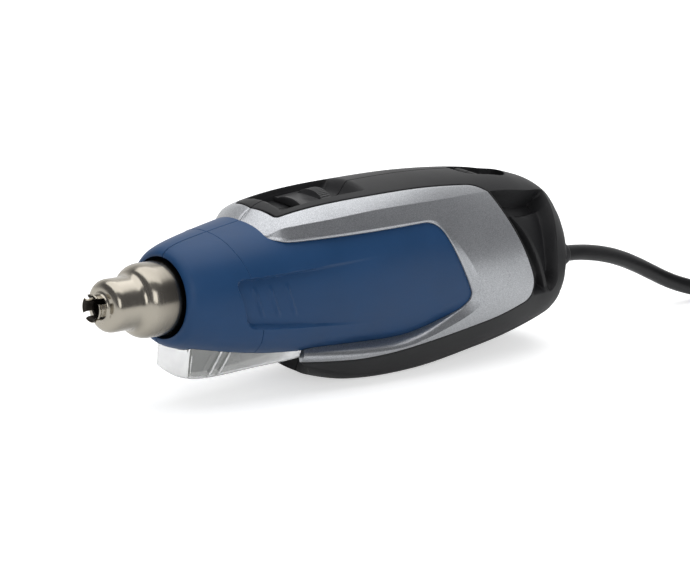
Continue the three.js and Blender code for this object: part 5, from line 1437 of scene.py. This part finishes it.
lead_route = [(x, 0, -CORD_DROP - drop) for x, drop in FREE_FALL]
lead_route += [(302, 0, coil_low + 0.7), (308, 0.7, coil_low + 0.3), (313.7, 2.6, coil_low + 0.1),
               (*swing_end, coil_low), (*coil_entry, coil_low)]
coil_steps = round(COIL_TURNS * TURN_STEPS)
for k in range(coil_steps + 1):
    turns = COIL_TURNS * k / coil_steps
    radius = coil_radius - turns_inside(turns) * TURN_PITCH
    angle = math.pi / 2 + SWING - 2 * math.pi * turns
    climbs = [n * layer_turns + (n - 1) * COIL_CLIMB for n in range(1, COIL_LAYERS)]
    layer = sum(soft_step(turns, start, start + COIL_CLIMB) for start in climbs)
    lead_route.append((coil_x + radius * math.cos(angle), coil_y + radius * math.sin(angle),
                       coil_low + layer * TURN_PITCH))
lead_route.append((end_x, end_y, coil_high))
lead_route += [(end_x - along, end_y + aside, coil_high - drop) for along, aside, drop in COIL_LEAVING]
lead_route += [(plug_rear + 4, plug_side, plug_height + 0.3), (plug_rear - 0.2, plug_side, plug_height)]

cord_pvc = mottled("cord_black_pvc", (60, 4), (0.009, 0.009, 0.01), (0.014, 0.014, 0.015), (0.34, 0.5),
                   grain=(1500, 2), bump=(0.12, 0.0001), sockets={"Specular IOR Level": 0.25})

lead_curve = bpy.data.curves.new("mains_lead", "CURVE")
lead_curve.dimensions = "3D"
lead_curve.bevel_depth = CORD_RADIUS / 1000
lead_curve.bevel_resolution = 4
lead_curve.resolution_u = 4
lead_curve.use_fill_caps = True
lead_line = lead_curve.splines.new("BEZIER")
lead_line.bezier_points.add(len(lead_route) - 1)
for point, spot in zip(lead_line.bezier_points, lead_route):
    point.co = in_frame(*spot)
    point.handle_left_type = point.handle_right_type = "AUTO"
lead_curve.materials.append(cord_pvc)
lead = bpy.data.objects.new("mains_lead", lead_curve)
scene.collection.objects.link(lead)
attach(lead, "tool")
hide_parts("supply_cord", "cord_coil", "cord_end")

# Boot: the rubber strain relief in the tail, ringed so that it bends in an even curve. Its flange
# sits behind the grips' rear wall.
BOOT_START = 186
BOOT_RINGS = 5
RING_FIRST, RING_PITCH, RING_CUT = 195.4, 2.9, 1.5
RING_RADIUS, RING_TAPER = 6.15, 0.3
boot_profile = [(BOOT_START, CORD_RADIUS + 0.3), (BOOT_START, 6.2), (194.6, 6.2)]
for ring in range(BOOT_RINGS):
    x = RING_FIRST + RING_PITCH * ring
    radius = RING_RADIUS - RING_TAPER * ring
    groove, after = radius - RING_CUT, radius - RING_TAPER
    boot_profile += swept([(x - 0.8, radius), (x, radius), (x, groove), (x + 0.5, groove)], 5)
    boot_profile += [(x + 0.9, groove)]
    boot_profile += swept([(x + 0.9, groove), (x + 1.4, groove), (x + 1.4, after), (x + 2.1, after)], 5)
boot_profile += swept([(209.6, 4.7), (210.6, 4.7), (BOOT_TIP, 4.5), (BOOT_TIP, 4.0)], 5)
boot_profile += [(BOOT_TIP - 0.2, CORD_RADIUS + 0.06), (BOOT_TIP - 3, CORD_RADIUS + 0.06),
                 (BOOT_START, CORD_RADIUS + 0.3)]
boot = spun(boot_profile, (0, 0, -CORD_DROP), (1, 0, 0), 48)
boot_rubber = mottled("boot_black_rubber", (1300, 3), (0.012, 0.012, 0.013), (0.02, 0.02, 0.021), (0.5, 0.62))
set_piece("cord_boot", boot, boot_rubber, ["strain_relief"])

# Tie: a plain strap of black nylon round the coil's bundle of turns. It is moulded flat, with rounded
# edges, and closed on itself.
TIE_WIDTH = 8
TIE_FILLET = 4.6
TIE_SIDE_GAP, TIE_END_GAP = 1.3, 0.85
TIE_WALL, TIE_EDGE = 0.9, 0.25
tie_inside = coil_x + coil_radius - layer_turns * TURN_PITCH - CORD_RADIUS - TIE_SIDE_GAP
tie_outside = coil_x + coil_radius + CORD_RADIUS + TIE_SIDE_GAP
tie_low = coil_low - CORD_RADIUS - TIE_END_GAP
tie_high = coil_high + CORD_RADIUS + TIE_END_GAP
tie_middle = (tie_inside + tie_outside) / 2
tie_line = rounded([(tie_middle, tie_low), (tie_outside, tie_low, TIE_FILLET),
                    (tie_outside, tie_high, TIE_FILLET), (tie_inside, tie_high, TIE_FILLET),
                    (tie_inside, tie_low, TIE_FILLET), (tie_middle, tie_low)])
tie = bmesh.new()
tie_points = [tie.verts.new(in_frame(x, coil_y - TIE_WIDTH / 2, z)) for x, z in tie_line[:-1]]
tie_edges = [tie.edges.new(pair) for pair in zip(tie_points, [*tie_points[1:], tie_points[0]])]
drawn = bmesh.ops.extrude_edge_only(tie, edges=tie_edges)["geom"]
bmesh.ops.translate(tie, vec=(0, TIE_WIDTH / 1000, 0),
                    verts=[part for part in drawn if isinstance(part, bmesh.types.BMVert)])
across = [edge for edge in tie.edges if abs(edge.verts[0].co.y - edge.verts[1].co.y) > 1e-5]
bmesh.ops.subdivide_edges(tie, edges=across, cuts=4)
bmesh.ops.recalc_face_normals(tie, faces=tie.faces[:])
bmesh.ops.solidify(tie, geom=tie.faces[:], thickness=TIE_WALL / 1000)
rims = [edge for edge in tie.edges if edge.calc_face_angle(0) > 1.2]
soften(tie, rims, TIE_EDGE, 2)
strap_nylon = mottled("strap_black_nylon", (1700, 3), (0.01, 0.01, 0.011), (0.017, 0.017, 0.018), (0.4, 0.55))
coil_strap = set_piece("coil_strap", tie, strap_nylon, ["coil_tie"])

# Plug: a two-pin plug moulded on the lead in black PVC, waisted for the fingers and ribbed at its neck,
# with nickel-plated pins that are sleeved over the half next to the body.
PLUG_LENGTH = 34
PLUG_HALF, PLUG_TALL = 12, 6.7
PLUG_NECK = 4.9
plug_front = plug_rear - 0.3 - PLUG_LENGTH
plug_wide = smooth_line([(0, PLUG_HALF - 1.7), (0.5, PLUG_HALF - 0.7), (1.5, PLUG_HALF - 0.1), (4, PLUG_HALF),
                         (15, PLUG_HALF - 0.9), (21, PLUG_HALF - 3), (28, 6.2), (32.6, PLUG_NECK),
                         (33.6, PLUG_NECK - 0.3), (34, PLUG_NECK - 1)])
plug_tall = smooth_line([(0, PLUG_TALL - 1.5), (0.5, PLUG_TALL - 0.6), (1.5, PLUG_TALL - 0.05),
                         (4, PLUG_TALL), (18, PLUG_TALL - 0.2), (26, 5.6), (32.6, PLUG_NECK),
                         (33.6, PLUG_NECK - 0.3), (34, PLUG_NECK - 1)])
PLUG_GROOVES = (20.5, 23.1, 25.7, 28.3)


def build_plug():
    plug = bmesh.new()
    stations = [0, 0.25, 0.5, 0.9, 1.5, 2.5, 4, *[5.5 + 1.5 * k for k in range(10)]]
    stations += [19.4 + 0.26 * k for k in range(46)] + [31.8, 32.6, 33.2, 33.6, 33.85, 34]
    rings = []
    for x in stations:
        ring = bmesh.ops.create_circle(plug, segments=64, radius=1)["verts"]
        fullness = 2 + 2.6 * (1 - soft_step(x, 16, 31))
        groove = max((0.45 * max(0, 1 - ((x - place) / 0.75) ** 2) for place in PLUG_GROOVES))
        for vertex in ring:
            turn = math.atan2(vertex.co.y, vertex.co.x)
            c, s = math.cos(turn), math.sin(turn)
            y = math.copysign(abs(c) ** (2 / fullness), c) * (plug_wide(x) - groove)
            z = math.copysign(abs(s) ** (2 / fullness), s) * (plug_tall(x) - groove * 0.6)
            vertex.co = in_frame(plug_front + x, plug_side + y, plug_height + z)
        rings.append({edge for vertex in ring for edge in vertex.link_edges})
    for near, far in zip(rings, rings[1:]):
        bmesh.ops.bridge_loops(plug, edges=[*near, *far])
    for ring in (rings[0], rings[-1]):
        bmesh.ops.contextual_create(plug, geom=list(ring))
    return plug


plug = set_piece("mains_plug", build_plug(), cord_pvc, ["plug_body"])

PIN_LENGTH, PIN_RADIUS = 19, 2
PIN_SIDE = 9.3
SLEEVE_LENGTH = 10
pin_face = plug_front - 0.3
pin_profile = [(0.3, 0), (0.3, PIN_RADIUS - 0.1), (0, PIN_RADIUS - 0.06),
               (-SLEEVE_LENGTH + 0.3, PIN_RADIUS - 0.06), (-SLEEVE_LENGTH, PIN_RADIUS - 0.2),
               (-SLEEVE_LENGTH - 0.05, PIN_RADIUS - 0.2),
               (-SLEEVE_LENGTH - 0.2, PIN_RADIUS), (-PIN_LENGTH + PIN_RADIUS, PIN_RADIUS)]
pin_profile += swept([(-PIN_LENGTH + PIN_RADIUS, PIN_RADIUS), (-PIN_LENGTH + 1, PIN_RADIUS),
                      (-PIN_LENGTH, PIN_RADIUS - 0.7), (-PIN_LENGTH, 0)], 9)
pin_nickel = mottled("pin_nickel_plate", (800, 3), (0.5, 0.48, 0.44), (0.62, 0.6, 0.56), (0.18, 0.28),
                     bump=(0.03, 0.0001), sockets={"Metallic": 1})
for number, side in enumerate((-1, 1), 1):
    pin = spun(pin_profile, (pin_face, plug_side + side * PIN_SIDE, plug_height), (1, 0, 0), 32)
    for face in pin.faces:
        sleeved = in_casing(face.calc_center_median())[0] > pin_face - SLEEVE_LENGTH - 0.02
        face.material_index = 1 if sleeved else 0
    piece = set_piece(f"mains_pin_{number}", pin, pin_nickel, [f"plug_pin_{number}"])
    piece.data.materials.append(cord_pvc)

in_frame(*lead_route[0])
